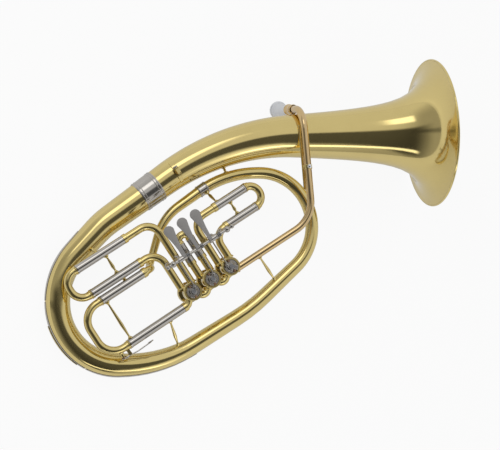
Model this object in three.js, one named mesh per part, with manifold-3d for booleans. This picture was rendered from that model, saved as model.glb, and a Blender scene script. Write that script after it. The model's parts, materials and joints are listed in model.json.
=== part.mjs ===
import * as THREE from 'three';
import { mergeVertices } from 'three/addons/utils/BufferGeometryUtils.js';
import { ConvexHull } from 'three/addons/math/ConvexHull.js';
import Module from 'manifold-3d';

// Oval alto horn with three rotary valves, lying on its bell's rim and its left bow. Millimetres.
//
// Horn frame, before the whole horn is turned to lie level:
//   x runs along the bell's axis towards the mouth, y from the lower bow up to the bell,
//   z from the body tubes up to the valve levers. The origin is where the centrelines of
//   the left bow and the lower bow would cross.
// Row frame: x runs along the row of valves, y towards the finger plates, z as above,
//   with its origin on the middle valve's axis.

// Body
const bodyLength = 534;
const bodyHeight = 299;
const sideBowShare = 0.66;
const bellRadius = 103;
const bellConeStart = 17.7;
const bellConeEnd = 29.4;
const flareDepth = 24.8;
const flarePower = 1.159;
const bellWall = 0.8;
const rimBead = 1.5;
const rimBeadLength = 3;
const leftBowRadius = 16.5;
const lowerBowRadius = 15.8;
const lowerBranchRadius = 12;
const sideBowRadius = 8.8;
const loopRadius = 7.5;
const bodyWall = 0.7;
const ferruleLength = 29;
const ferruleWall = 0.6;
const ferruleBead = 0.5;
const beadLength = 2;
const loopFerruleLength = 14;

// Valve row
const rowAngle = Math.PI / 6;
const rowCentreShares = [0.368, 0.362];
const valvePitch = 30.3;
const valvePlane = 26;
const portOffset = 8;
const casingRadius = 12.4;
const casingWall = 1.3;
const casingLength = 28;
const lipLength = 3.2;
const lipWall = 2.8;
const channelRadius = 4.4;
const channelArc = 13.6;
const channelOverrunShare = 1.35;
const channelSteps = 5;
const plateThickness = 2.4;
const stemRadius = 2.8;
const backCapLength = 4.4;
const backCapSkirt = 3;
const backCapWall = 1.6;

// Cylindrical tubing
const tubeBore = 4.7;
const tubeWall = 0.5;
const clearance = 0.3;
const collarLength = 5;
const legInsertShare = 0.7;

// Slides, measured in the row frame; the shares are of the room between the row's middle and
// the bow at that end, and bare is the straight left between sleeve and bow
const thirdSizes = {
  near: 68.5, far: 105.5, startShare: 0.3, reachShare: 0.714, bend: 17, bare: 4, tubeBend: 20,
};
const firstSizes = {
  near: 47, far: 76, startShare: 0.338, reachShare: 0.679, bend: 14.4, bare: 0.5, tubeBend: 18,
};
const mainSizes = { low: -12.5, high: 54.5, startShare: 0.295, reachShare: 0.741, bend: 25, bare: 8 };
const secondSlide = { start: 33, end: 59, reach: 69, bend: 7.8 };
const linkBend = 7;
const elbowBend = 7;
const tailBend = 11;

// Lead pipe and mouthpiece
const pipeRadius = 5.2;
const pipeWall = 0.55;
const pipeSideShare = 0.629;
const pipeLean = 4;
const pipeBend = 21;
const pipeTurnBend = 24;
const pipeDrop = 17;
const receiverLeanShares = [-0.04, 0.14];
const receiverLength = 22;
const receiverWall = 1.1;
const receiverRingShares = [0.85, 0.9];
const mouthpieceLength = 64;
const shankInsert = 18;
const mouthpieceRimRadius = 13;
const cupDepth = 19;
const throatRadius = 2.3;
const shankTipRadius = 4.2;
const shankWall = 1;
const neckShare = 0.72;
const stayWidth = 6.5;
const stayLength = 88;
const stayThickness = 1.7;
const stayBandLength = 6;
const stayBandWall = 1.2;
const stayScrewRadius = 2.6;
const stayScrewShare = 0.66;

// Action
const crankRadius = 6;
const crankTurn = Math.PI / 2;
const crankPinRadius = 1.3;
const stopArmThickness = 3;
const armHubRadius = 4.8;
const stopRadius = 7.4;
const linkThickness = 2.2;
const linkEyeRadius = 2.9;
const leverArmLength = 20;
const leverRodPlace = 45;
const leverLength = 45.5;
const fingerPitch = 20.5;
const fingerTipRadius = 7.2;
const fingerNeckWidth = 4.6;
const fingerThickness = 1.8;
const rodRadius = 2;
const rodFinialRadius = 3;
const rodStart = -46.5;
const rodEnd = 54;
const sleeveWall = 1.3;
const armWidth = 3;
const eyePlay = 0.6;
const postRadius = 2.1;
const postHeadRadius = 4.2;
const postCollarRadius = 3;
const postFootRadius = 4;
const springWireRadius = 0.4;
const springCurls = 4;
const springPitch = 1.3;
const springGap = 0.7;

// Trim
const guardThickness = 0.6;
const guardHalfAngle = 0.42;
const bumperThickness = 1.2;
const bumperHalfAngle = 0.62;
const braceNeckRadius = 1.4;
const braceSwellRadius = 2.2;
const braceSwellShare = 0.6;
const braceFootRadius = 3.2;
const braceFootLength = 1.6;
const widestDiscShare = 0.16;
const holderLength = 5;
const holderWidth = 10;
const holderHeight = 9;
const holderBore = 6;
const holderStrapHalfAngle = 0.75;
const strapSteps = 12;
const holderStrapThickness = 1.2;
const screwRadius = 1.5;
const screwHeadRadius = 3.2;
const screwHeadWidth = 2.4;
const nippleRadius = 3;
const nippleBore = 1.4;
const nippleLength = 4.5;
const nippleSeat = 2.4;
const nipplePlaceShare = 0.7;
const keyPadRadius = 4;
const keyPadThickness = 2.4;
const keyBarRadius = 1.4;
const keyTouchRadius = 4.2;
const keyReach = 31;
const keyTouchDrop = 7;
const keyPinRadius = 1;

// Fineness of the facets
const bellSides = 24;
const bodySides = 16;
const branchSides = 12;
const tubeSides = 8;
const wireSides = 5;
const curlSteps = 8;
const roundSides = 16;
const smallSides = 8;
const plateSteps = 6;
const wrapSteps = 4;
const widestBendStep = 0.64;
const chordError = 0.55;
const leastStraightShare = 0.001;
const searchSteps = 400;
const weldGap = 1e-4;

// Sizes that follow
const tubeRadius = tubeBore + tubeWall;
const sleeveBore = tubeRadius + clearance;
const sleeveRadius = sleeveBore + tubeWall;
const rotorRadius = casingRadius - casingWall - clearance;
const casingTop = valvePlane + casingLength / 2;
const casingBottom = valvePlane - casingLength / 2;
const casingFront = casingTop + lipLength;
const capFoot = casingBottom - clearance - backCapLength;
const armFloor = casingFront + clearance;
const linkFloor = armFloor + stopArmThickness + clearance;
const linkHeight = linkFloor + linkThickness / 2;
const rodHeight = linkHeight + leverArmLength;
const swing = crankRadius * Math.sin(crankTurn / 2);
const leverSwing = Math.asin(swing / leverArmLength);
const [rowCentreAcrossShare, rowCentreUpShare] = rowCentreShares;
const rowCentre = new THREE.Vector3(rowCentreAcrossShare * bodyLength, rowCentreUpShare * bodyHeight, 0);
const up = new THREE.Vector3(0, 0, 1);

// Room beside the row's middle for the slides: to the left bow, and to the side bow
const leftRoom = rowCentre.x / Math.cos(rowAngle);
const rightRoom = (sideBowShare * bodyLength - rowCentre.x) / Math.cos(rowAngle);
function slideIn(room, sizes) {
  const start = sizes.startShare * room;
  const reach = sizes.reachShare * room;
  return { ...sizes, start, reach, end: reach - sizes.bend - sizes.bare };
}
const thirdSlide = slideIn(leftRoom, thirdSizes);
const firstSlide = slideIn(rightRoom, firstSizes);
const mainSlide = slideIn(leftRoom, mainSizes);

const wasm = await Module();
wasm.setup();

// Finishes
const finishes = {
  lacquer: { color: 0xd8b65c, roughness: 0.18, metalness: 1 },
  rose: { color: 0xcd9a6c, roughness: 0.2, metalness: 1 },
  nickel: { color: 0xa7a39b, roughness: 0.22, metalness: 1 },
  matte: { color: 0x8b8783, roughness: 0.55, metalness: 0.9 },
  silver: { color: 0xc8cbd0, roughness: 0.15, metalness: 1 },
  steel: { color: 0x8f9092, roughness: 0.35, metalness: 1 },
};

const horn = new THREE.Group();
const row = new THREE.Group();
row.position.copy(rowCentre);
row.rotation.z = rowAngle;
horn.add(row);

function addPiece(parent, name, geometry, finish) {
  const mesh = new THREE.Mesh(geometry, new THREE.MeshStandardMaterial(finishes[finish]));
  mesh.name = name;
  parent.add(mesh);
  return mesh;
}

// A spot of the row frame, told in the horn frame
function rowSpot(x, y, z) {
  return new THREE.Vector3(x, y, z).applyAxisAngle(up, rowAngle).add(rowCentre);
}

// A geometry of the horn frame, told in the row frame
function toRow(geometry) {
  const moved = geometry.clone();
  moved.translate(-rowCentre.x, -rowCentre.y, -rowCentre.z);
  moved.rotateZ(-rowAngle);
  return moved;
}

// Solids and booleans
function solid(geometry) {
  const plain = geometry.clone();
  plain.deleteAttribute('normal');
  plain.deleteAttribute('uv');
  const merged = mergeVertices(plain, weldGap);
  const vertProperties = Float32Array.from(merged.attributes.position.array);
  const triVerts = Uint32Array.from(merged.index.array);
  return new wasm.Manifold(new wasm.Mesh({ numProp: 3, vertProperties, triVerts }));
}

function surface(body) {
  const mesh = body.getMesh();
  const geometry = new THREE.BufferGeometry();
  geometry.setAttribute('position', new THREE.BufferAttribute(new Float32Array(mesh.vertProperties), 3));
  geometry.setIndex(new THREE.BufferAttribute(new Uint32Array(mesh.triVerts), 1));
  geometry.computeVertexNormals();
  return geometry;
}

function fuse(...geometries) {
  return surface(geometries.map(solid).reduce((whole, next) => whole.add(next)));
}

function cut(geometry, ...tools) {
  return surface(tools.map(solid).reduce((whole, next) => whole.subtract(next), solid(geometry)));
}

// Turned pieces: the profile lists [radius, distance along the axis]
function turned(profile, sides, foot, along) {
  const points = profile.map(([radius, height]) => new THREE.Vector2(radius, height));
  const geometry = new THREE.LatheGeometry(points, sides);
  const heading = along.clone().normalize();
  const turn = new THREE.Quaternion().setFromUnitVectors(new THREE.Vector3(0, 1, 0), heading);
  geometry.applyQuaternion(turn);
  geometry.translate(foot.x, foot.y, foot.z);
  return geometry;
}

function rod(from, to, radius, sides) {
  const along = to.clone().sub(from);
  const length = along.length();
  return turned([[0, 0], [radius, 0], [radius, length], [0, length]], sides, from, along);
}

function ring(from, to, radius, bore, sides) {
  const along = to.clone().sub(from);
  const length = along.length();
  const profile = [[bore, 0], [radius, 0], [radius, length], [bore, length], [bore, 0]];
  return turned(profile, sides, from, along);
}

function ball(centre, radius) {
  const geometry = new THREE.SphereGeometry(radius, smallSides, smallSides / 2);
  geometry.translate(centre.x, centre.y, centre.z);
  return geometry;
}

function block(from, to) {
  const size = to.clone().sub(from);
  const geometry = new THREE.BoxGeometry(size.x, size.y, size.z);
  const middle = from.clone().add(to).multiplyScalar(0.5);
  geometry.translate(middle.x, middle.y, middle.z);
  return geometry;
}

// Angle by which a line of corners turns at one of them
function turnAt(corners, i) {
  const back = corners[i - 1].spot.clone().sub(corners[i].spot);
  const onward = corners[i + 1].spot.clone().sub(corners[i].spot);
  return Math.PI - back.angleTo(onward);
}

// How far each bend reaches along its two straights. Bends that would meet on the straight
// between them give way in proportion.
function bendReaches(corners) {
  const wanted = corners.map(({ bend }, i) => (bend ? bend * Math.tan(turnAt(corners, i) / 2) : 0));
  const easing = [1];
  for (let i = 1; i < corners.length; i += 1) {
    const straight = corners[i].spot.distanceTo(corners[i - 1].spot);
    const both = wanted[i - 1] + wanted[i];
    easing.push(Math.min(1, ((1 - leastStraightShare) * straight) / both));
  }
  easing.push(1);
  return wanted.map((reach, i) => reach * Math.min(easing[i], easing[i + 1]));
}

// A route of straight runs joined by round bends
class Route {
  constructor(corners) {
    this.parts = [];
    this.length = 0;
    const reaches = bendReaches(corners);
    let start = corners[0].spot;
    for (let i = 1; i < corners.length; i += 1) {
      const { spot } = corners[i];
      const reach = reaches[i];
      if (!reach) {
        this.addRun(start, spot);
        start = spot;
        continue;
      }
      const back = start.clone().sub(spot).normalize();
      const onward = corners[i + 1].spot.clone().sub(spot).normalize();
      const turn = turnAt(corners, i);
      const bend = reach / Math.tan(turn / 2);
      const entry = spot.clone().addScaledVector(back, reach);
      this.addRun(start, entry);
      const inward = back.clone().add(onward).normalize();
      const centre = spot.clone().addScaledVector(inward, bend / Math.cos(turn / 2));
      this.addBend(entry, centre, back.clone().negate(), bend, turn);
      start = spot.clone().addScaledVector(onward, reach);
    }
  }

  addRun(from, to) {
    const dir = to.clone().sub(from);
    const length = dir.length();
    dir.normalize();
    const at = (s) => ({ spot: from.clone().addScaledVector(dir, s), dir: dir.clone() });
    this.addPart(length, 1, at);
  }

  addBend(from, centre, dir, bend, turn) {
    const spoke = from.clone().sub(centre);
    const at = (s) => {
      const angle = s / bend;
      const spot = centre.clone().addScaledVector(spoke, Math.cos(angle));
      spot.addScaledVector(dir, bend * Math.sin(angle));
      const heading = dir.clone().multiplyScalar(Math.cos(angle));
      heading.addScaledVector(spoke, -Math.sin(angle) / bend);
      return { spot, dir: heading.normalize() };
    };
    const step = Math.min(widestBendStep, 2 * Math.acos(1 - chordError / bend));
    this.addPart(bend * turn, Math.ceil(turn / step), at);
  }

  addPart(length, steps, at) {
    this.parts.push({ start: this.length, length, steps, at });
    this.length += length;
  }

  at(s) {
    const part = this.parts.find((one) => s <= one.start + one.length) ?? this.parts.at(-1);
    return part.at(s - part.start);
  }

  stops(from, to) {
    const list = [from, to];
    for (const part of this.parts) {
      for (let i = 0; i <= part.steps; i += 1) {
        list.push(part.start + (part.length * i) / part.steps);
      }
    }
    return list.filter((s) => s >= from && s <= to);
  }
}

// Straight lines between the rows of a table, the first column being the place
function between(table, s, column) {
  const next = Math.max(1, table.findIndex((line) => line[0] >= s));
  const [a, b] = [table[next - 1], table[next]];
  const part = THREE.MathUtils.clamp((s - a[0]) / (b[0] - a[0]), 0, 1);
  return THREE.MathUtils.lerp(a[column], b[column], part);
}

// Places along a route, each once, with the cross-section's two directions carried along
function sections(route, places, firstSide) {
  const sorted = [...places].sort((a, b) => a - b);
  const kept = sorted.filter((s, i) => i === 0 || s - sorted[i - 1] > weldGap);
  let side = firstSide;
  return kept.map((s) => {
    const { spot, dir } = route.at(s);
    side = side.clone().addScaledVector(dir, -side.dot(dir)).normalize();
    return { s, spot, side, cross: dir.clone().cross(side) };
  });
}

function ringPoints({ spot, side, cross }, radius, sides) {
  const points = [];
  for (let i = 0; i < sides; i += 1) {
    const angle = (2 * Math.PI * (i + 0.5)) / sides;
    const point = spot.clone().addScaledVector(side, radius * Math.cos(angle));
    points.push(point.addScaledVector(cross, radius * Math.sin(angle)));
  }
  return points;
}

// Closes a row of equal loops of points into one body, from the first loop round to the last
function skin(loops, closed) {
  const count = loops[0].length;
  const positions = loops.flat().flatMap((point) => point.toArray());
  const index = [];
  const rows = closed ? loops.length : loops.length - 1;
  for (let j = 0; j < rows; j += 1) {
    const a = j * count;
    const b = ((j + 1) % loops.length) * count;
    for (let i = 0; i < count; i += 1) {
      const k = (i + 1) % count;
      index.push(a + i, a + k, b + k, a + i, b + k, b + i);
    }
  }
  if (!closed) {
    const last = (loops.length - 1) * count;
    for (let i = 1; i < count - 1; i += 1) {
      index.push(0, i + 1, i, last, last + i, last + i + 1);
    }
  }
  const geometry = new THREE.BufferGeometry();
  geometry.setAttribute('position', new THREE.Float32BufferAttribute(positions, 3));
  geometry.setIndex(index);
  geometry.computeVertexNormals();
  return geometry;
}

// A hollow tube along a route; the profile lists [place, outer radius, bore radius]
function tube(route, profile, sides) {
  const from = profile[0][0];
  const to = profile.at(-1)[0];
  const places = [...route.stops(from, to), ...profile.map((line) => line[0])];
  const stations = sections(route, places, up);
  const outside = stations.map((one) => ringPoints(one, between(profile, one.s, 1), sides));
  const inside = stations.map((one) => ringPoints(one, between(profile, one.s, 2), sides));
  return skin([...outside, ...inside.reverse()], true);
}

// A plate bent round the outer side of a tube
function wrap(route, from, to, radiusAt, halfAngle, thickness, facing) {
  const stations = sections(route, route.stops(from, to), facing);
  const arc = (one, radius) => {
    const points = [];
    for (let i = 0; i <= wrapSteps; i += 1) {
      const angle = halfAngle * ((2 * i) / wrapSteps - 1);
      const point = one.spot.clone().addScaledVector(one.side, radius * Math.cos(angle));
      points.push(point.addScaledVector(one.cross, radius * Math.sin(angle)));
    }
    return points;
  };
  const loops = stations.map((one) => {
    const inner = radiusAt(one.s) + clearance + chordError;
    return [...arc(one, inner + thickness), ...arc(one, inner).reverse()];
  });
  return skin(loops, false);
}

// A turned stay between two tubes, from one centreline spot to another: a foot at either end
// and a thin neck that swells beyond the middle
function brace(from, fromRadius, to, toRadius, seat) {
  const along = to.clone().sub(from).normalize();
  const foot = from.clone().addScaledVector(along, fromRadius + seat);
  const length = from.distanceTo(to) - fromRadius - toRadius - seat - clearance;
  const disc = Math.min(braceFootLength, widestDiscShare * length);
  const profile = [
    [0, 0],
    [braceFootRadius, 0],
    [braceFootRadius, disc],
    [braceNeckRadius, 2 * disc],
    [braceSwellRadius, braceSwellShare * length],
    [braceNeckRadius, length - 2 * disc],
    [braceFootRadius, length - disc],
    [braceFootRadius, length],
    [0, length],
  ];
  return turned(profile, smallSides, foot, along);
}

// Body: the conical tube from the main slide to the bell
const tailCorner = [-mainSlide.start + tailBend, mainSlide.high];
// Corners as a share of the length, a share of the height, and the bend as a share of the height
const tailCornerShares = [0.27, 0.65, 0.249];
const bowCornerShares = [
  [sideBowShare, 0.487, 0.249],
  [0.484, 0.226, 0.831],
  [0.242, -0.005, 0.605],
  [-0.01, 0.034, 0.274],
  [0.001, 0.424, 0.303],
  [0.118, 0.63, 0.395],
  [0.436, 1.003, 1.107],
];
const bodyCorner = ([x, y, bend]) => ({
  spot: new THREE.Vector3(x * bodyLength, y * bodyHeight, 0),
  bend: bend * bodyHeight,
});
// The loop hangs under the bell: its drop from the bell's axis is a share of the bell's radius
const loopCornerShares = [
  [0.437, 0.458, 0.468],
  [0.647, 0.493, 0.238],
];
const loopCorner = ([x, drop, bend]) => ({
  spot: new THREE.Vector3(x * bodyLength, bodyHeight - drop * bellRadius, 0),
  bend: bend * bodyHeight,
});
const bodyRoute = new Route([
  { spot: rowSpot(-mainSlide.start, mainSlide.high, valvePlane) },
  { spot: rowSpot(...tailCorner, valvePlane), bend: tailBend },
  { spot: rowSpot(...tailCorner, 0), bend: tailBend },
  bodyCorner(tailCornerShares),
  ...loopCornerShares.map(loopCorner),
  ...bowCornerShares.map(bodyCorner),
  { spot: new THREE.Vector3(bodyLength, bodyHeight, 0) },
]);

const mouth = bodyRoute.length;
const taperShares = {
  tailTaper: 0.037,
  loopJoint: 0.112,
  sideBow: 0.25,
  lowerBranch: 0.42,
  lowerJoint: 0.425,
  lowerBow: 0.49,
  leftBow: 0.59,
  bellJoint: 0.709,
};
const places = Object.fromEntries(
  Object.entries(taperShares).map(([name, share]) => [name, share * mouth]),
);
const taper = [
  [0, tubeRadius],
  [places.tailTaper, tubeRadius],
  [places.loopJoint, loopRadius],
  [places.sideBow, sideBowRadius],
  [places.lowerBranch, lowerBranchRadius],
  [places.lowerBow, lowerBowRadius],
  [places.leftBow, leftBowRadius],
  [places.bellJoint, bellRadiusAt(places.bellJoint)],
];
const bodyRadius = (s) => between(taper, s, 1);

// Profile rows of a body section with its own wall, from one place to another
function bodyProfile(from, to) {
  const stops = [from, ...taper.map((line) => line[0]).filter((s) => s > from && s < to), to];
  return stops.map((s) => [s, bodyRadius(s), bodyRadius(s) - bodyWall]);
}

const jointGap = clearance / 2;
const tailProfile = bodyProfile(clearance, places.loopJoint - jointGap);
addPiece(horn, 'loop_tail', tube(bodyRoute, tailProfile, tubeSides), 'lacquer');

// The loop and lower branch carries a short stay that holds it under the bell
const lowerProfile = bodyProfile(places.loopJoint + jointGap, places.lowerJoint - jointGap);
const lowerTube = tube(bodyRoute, lowerProfile, branchSides);
const loopStayShare = 0.139;
const loopStayPlace = loopStayShare * mouth;
const loopStaySpot = bodyRoute.at(loopStayPlace).spot;
const underBell = nearestOnBody(loopStaySpot, places.bellJoint, mouth);
const bellRadiusThere = bellRadiusAt(underBell.s) + chordError;
const loopStay = brace(loopStaySpot, bodyRadius(loopStayPlace), underBell.spot, bellRadiusThere, -bodyWall);
addPiece(horn, 'lower_branch', fuse(lowerTube, loopStay), 'lacquer');

const bowProfile = bodyProfile(places.lowerJoint + jointGap, places.bellJoint - jointGap);
addPiece(horn, 'left_bow', tube(bodyRoute, bowProfile, bodySides), 'lacquer');

// Bell: a cone from its ferrule to the mouth, and on top of it the flare
function bellRadiusAt(s) {
  const depth = mouth - s;
  const cone = THREE.MathUtils.lerp(bellConeEnd, bellConeStart, depth / (mouth - places.bellJoint));
  const flare = (flareDepth / (depth + flareDepth)) ** flarePower;
  return cone + (bellRadius - bellConeEnd) * flare;
}

function nearestOnBody(target, from, to) {
  let best = { far: Infinity };
  for (let i = 0; i <= searchSteps; i += 1) {
    const s = from + ((to - from) * i) / searchSteps;
    const { spot } = bodyRoute.at(s);
    const far = spot.distanceTo(target);
    if (far < best.far) best = { far, spot, s };
  }
  return best;
}

const flareStopShares = [0.72, 0.48, 0.34, 0.25, 0.18, 0.13, 0.09, 0.06, 0.035, 0.016];
const bellLength = mouth - places.bellJoint;
const flareStops = flareStopShares.map((share) => mouth - share * bellLength);
const bellProfile = [places.bellJoint + jointGap, ...flareStops]
  .map((s) => [s, bellRadiusAt(s), bellRadiusAt(s) - bellWall]);
const beadStart = mouth - rimBeadLength;
const beadStep = clearance;
bellProfile.push([beadStart, bellRadiusAt(beadStart), bellRadiusAt(beadStart) - bellWall]);
bellProfile.push([beadStart + beadStep, bellRadius, bellRadiusAt(beadStart) - bellWall / 2]);
bellProfile.push([mouth, bellRadius, bellRadius - rimBead]);
addPiece(horn, 'bell', tube(bodyRoute, bellProfile, bellSides), 'lacquer');

// Nickel ferrules over the two joints of the body
function ferrule(place, length, radius, beads) {
  const from = place - length / 2;
  const to = place + length / 2;
  const bore = radius + clearance + chordError;
  const outer = bore + ferruleWall;
  const profile = [[from, outer, bore]];
  for (const bead of beads) {
    const s = from + bead * length;
    profile.push([s - beadLength, outer, bore]);
    profile.push([s, outer + ferruleBead, bore]);
    profile.push([s + beadLength, outer, bore]);
  }
  profile.push([to, outer, bore]);
  return profile;
}

const ferruleBeadShares = [0.15, 0.85];
const widestUnderFerrule = bellRadiusAt(places.bellJoint + ferruleLength / 2);
const bellFerrule = ferrule(places.bellJoint, ferruleLength, widestUnderFerrule, ferruleBeadShares);
addPiece(horn, 'bell_ferrule', tube(bodyRoute, bellFerrule, bodySides), 'nickel');
const widestUnderRing = bodyRadius(places.loopJoint + loopFerruleLength / 2);
const loopFerrule = ferrule(places.loopJoint, loopFerruleLength, widestUnderRing, []);
addPiece(horn, 'loop_ferrule', tube(bodyRoute, loopFerrule, branchSides), 'nickel');

// Guard strip and raised bumper on the outer side of the bows
const guardShares = [0.415, 0.508];
const bumperShares = [0.513, 0.573];
const upperGuardShares = [0.578, 0.637];
const shareOfMouth = (shares) => shares.map((share) => share * mouth);
const guardPieces = [
  ['lower_guard', guardShares, guardHalfAngle, guardThickness],
  ['bow_bumper', bumperShares, bumperHalfAngle, bumperThickness],
  ['upper_guard', upperGuardShares, guardHalfAngle, guardThickness],
];
for (const [name, shares, halfAngle, thickness] of guardPieces) {
  const [from, to] = shareOfMouth(shares);
  const facing = up.clone().cross(bodyRoute.at(from).dir);
  addPiece(horn, name, wrap(bodyRoute, from, to, bodyRadius, halfAngle, thickness, facing), 'nickel');
}

// Valves
const valves = [
  { number: 1, x: valvePitch, crankSide: -1 },
  { number: 2, x: 0, crankSide: 1 },
  { number: 3, x: -valvePitch, crankSide: 1 },
];
const flat = (x, y, z = 0) => new THREE.Vector3(x, y, z);
const backwards = flat(0, 0, -1);
const overrun = casingRadius;

// A drill along a tube's axis, from inside a casing outwards
function portDrill(centreX, offset, heading, radius) {
  const start = flat(centreX + offset.x, offset.y, valvePlane);
  return rod(start, start.clone().addScaledVector(heading, 2 * casingRadius), radius, tubeSides);
}

function casing(valve) {
  const inner = casingRadius - casingWall;
  const lip = casingRadius - lipWall;
  const profile = [
    [inner, 0],
    [casingRadius, 0],
    [casingRadius, casingLength + lipLength],
    [lip, casingLength + lipLength],
    [lip, casingLength],
    [inner, casingLength],
    [inner, 0],
  ];
  const shell = turned(profile, roundSides, flat(valve.x, 0, casingBottom), up);
  const diagonal = Math.SQRT1_2;
  const drills = [];
  for (const side of [-1, 1]) {
    drills.push(portDrill(valve.x, flat(side * portOffset, 0), flat(0, 1), tubeBore));
    drills.push(portDrill(valve.x, flat(0, 0), flat(side * diagonal, -diagonal), tubeBore));
  }
  return cut(shell, ...drills);
}

// Rotor with its two curved channels, front stem and back stem
function rotor(valve) {
  const bottom = casingBottom + clearance;
  const top = casingTop - clearance;
  const stemTop = casingFront + stopArmThickness + linkThickness;
  const backStem = capFoot + backCapWall + clearance;
  const profile = [
    [0, backStem],
    [stemRadius, backStem],
    [stemRadius, bottom],
    [rotorRadius, bottom],
    [rotorRadius, top],
    [stemRadius, top],
    [stemRadius, stemTop],
    [0, stemTop],
  ];
  const body = turned(profile, roundSides, flat(valve.x, 0, 0), up);
  const channels = [-1, 1].map((side) => channel(valve, side));
  return cut(body, ...channels);
}

function channel(valve, side) {
  const chord = rotorRadius * Math.SQRT1_2;
  const rise = Math.sqrt(channelArc ** 2 - chord ** 2);
  const centre = flat(valve.x, side * (chord + rise), valvePlane);
  const sweep = channelOverrunShare * Math.asin(chord / channelArc);
  const steps = channelSteps;
  const loops = [];
  for (let i = 0; i <= steps; i += 1) {
    const angle = sweep * ((2 * i) / steps - 1);
    const spoke = flat(side * Math.sin(angle), -side * Math.cos(angle));
    const spot = centre.clone().addScaledVector(spoke, channelArc);
    const heading = flat(Math.cos(angle), Math.sin(angle));
    loops.push(ringPoints({ spot, side: up, cross: heading.cross(up) }, channelRadius, tubeSides));
  }
  return skin(loops, false);
}

function backCap(valve) {
  const inner = casingRadius + clearance;
  const outer = inner + backCapWall;
  const seat = stemRadius + clearance;
  const profile = [
    [0, 0],
    [outer, 0],
    [outer, backCapLength + backCapSkirt],
    [inner, backCapLength + backCapSkirt],
    [inner, backCapLength],
    [seat, backCapLength],
    [seat, backCapWall],
    [0, backCapWall],
  ];
  return turned(profile, roundSides, flat(valve.x, 0, capFoot), up);
}

// Front bearing with the two stop posts on it
const pinAngle = ({ crankSide }) => (crankSide > 0 ? crankTurn / 2 : Math.PI - crankTurn / 2);
const stopAngles = (valve) => {
  const opposite = pinAngle(valve) + Math.PI;
  const onwards = valve.crankSide > 0 ? -crankTurn : crankTurn;
  return [opposite, opposite + onwards];
};
const lugHalf = stemRadius;
const stopPostRadius = screwRadius;

function bearingPlate(valve) {
  const outer = casingRadius - lipWall - clearance;
  const bore = stemRadius + clearance;
  const foot = flat(valve.x, 0, casingTop + clearance);
  const plate = ring(foot, foot.clone().setZ(foot.z + plateThickness), outer, bore, roundSides);
  const spread = Math.asin((lugHalf + stopPostRadius + clearance) / stopRadius);
  const [first, last] = stopAngles(valve);
  const outwards = Math.sign(first - last);
  const posts = [first + outwards * spread, last - outwards * spread].map((angle) => {
    const x = valve.x + stopRadius * Math.cos(angle);
    const y = stopRadius * Math.sin(angle);
    const top = casingFront + clearance + stopArmThickness;
    return rod(flat(x, y, foot.z + plateThickness / 2), flat(x, y, top), stopPostRadius, smallSides);
  });
  return fuse(plate, ...posts);
}

// Stop arm: a hub on the stem, a crank to the link and a lug between the stops
function stopArm(valve) {
  const bottom = armFloor;
  const top = bottom + stopArmThickness;
  const upright = (x, from, to, radius) => rod(flat(x, 0, from), flat(x, 0, to), radius, smallSides);
  const hub = upright(0, bottom, top, armHubRadius);
  const crank = block(flat(0, -stemRadius / 2, bottom), flat(crankRadius, stemRadius / 2, top));
  const pinBoss = upright(crankRadius, bottom, top, 2 * crankPinRadius);
  const pinTop = linkHeight + linkThickness / 2 + clearance;
  const pin = upright(crankRadius, bottom + clearance, pinTop, crankPinRadius);
  const lug = block(flat(-stopRadius - stopPostRadius, -lugHalf, bottom), flat(0, lugHalf, top));
  const hole = upright(0, bottom - stemRadius, top + stemRadius, stemRadius + clearance);
  const arm = cut(fuse(hub, crank, pinBoss, pin, lug), hole);
  arm.rotateZ(pinAngle(valve));
  arm.translate(valve.x, 0, 0);
  return arm;
}

// Link rod: one eye on the crank pin, a slot at the other end for the lever's cross pin
const eyeBore = crankPinRadius + clearance;
const armSpot = (turn) => flat(0, leverRodPlace + leverArmLength * Math.sin(leverSwing - turn));
const linkX = (valve) => valve.x + valve.crankSide * swing;

function linkRod(valve) {
  const pinY = swing;
  const farY = armSpot(0).y;
  const bottom = linkFloor;
  const top = bottom + linkThickness;
  const x = linkX(valve);
  const near = rod(flat(x, pinY, bottom), flat(x, pinY, top), linkEyeRadius, smallSides);
  const half = linkThickness / 2;
  const bar = block(flat(x - half, pinY, bottom), flat(x + half, farY - linkEyeRadius / 2, top));
  const side = flat(half, 0);
  const far = flat(x, farY, linkHeight);
  const eye = rod(far.clone().sub(side), far.clone().add(side), linkEyeRadius, smallSides);
  const nearHole = rod(flat(x, pinY, bottom - overrun), flat(x, pinY, top + overrun), eyeBore, smallSides);
  const across = flat(overrun, 0);
  const farHole = rod(far.clone().sub(across), far.clone().add(across), eyeBore + eyePlay, smallSides);
  return cut(fuse(near, bar, eye), nearHole, farHole);
}

// Levers on the hinge rod
const rodBore = rodRadius + clearance;
const sleeveOuter = rodBore + sleeveWall;
const pivot = flat(0, leverRodPlace, rodHeight);
const fingerX = (valve) => (valve.x / valvePitch) * fingerPitch;
const armX = (valve) => linkX(valve) - valve.crankSide * (linkThickness / 2 + clearance + armWidth / 2);
const linkDrift = crankRadius - swing;
const leverSpan = (valve) => {
  const half = fingerNeckWidth / 2;
  const from = Math.min(fingerX(valve) - half, armX(valve) - armWidth / 2);
  const to = Math.max(fingerX(valve) + half, armX(valve) + armWidth / 2);
  return [from, to];
};

function fingerPlate(x) {
  const neck = fingerNeckWidth / 2;
  const tipY = leverLength - fingerTipRadius;
  const shape = new THREE.Shape();
  shape.moveTo(-neck, 0);
  shape.lineTo(neck, 0);
  shape.quadraticCurveTo(neck, tipY / 2, fingerTipRadius, tipY);
  shape.absarc(0, tipY, fingerTipRadius, 0, Math.PI, false);
  shape.quadraticCurveTo(-neck, tipY / 2, -neck, 0);
  const settings = { depth: fingerThickness, bevelEnabled: false, curveSegments: plateSteps };
  const geometry = new THREE.ExtrudeGeometry(shape, settings);
  geometry.translate(x, leverRodPlace, rodHeight + sleeveOuter - fingerThickness);
  return geometry;
}

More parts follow.
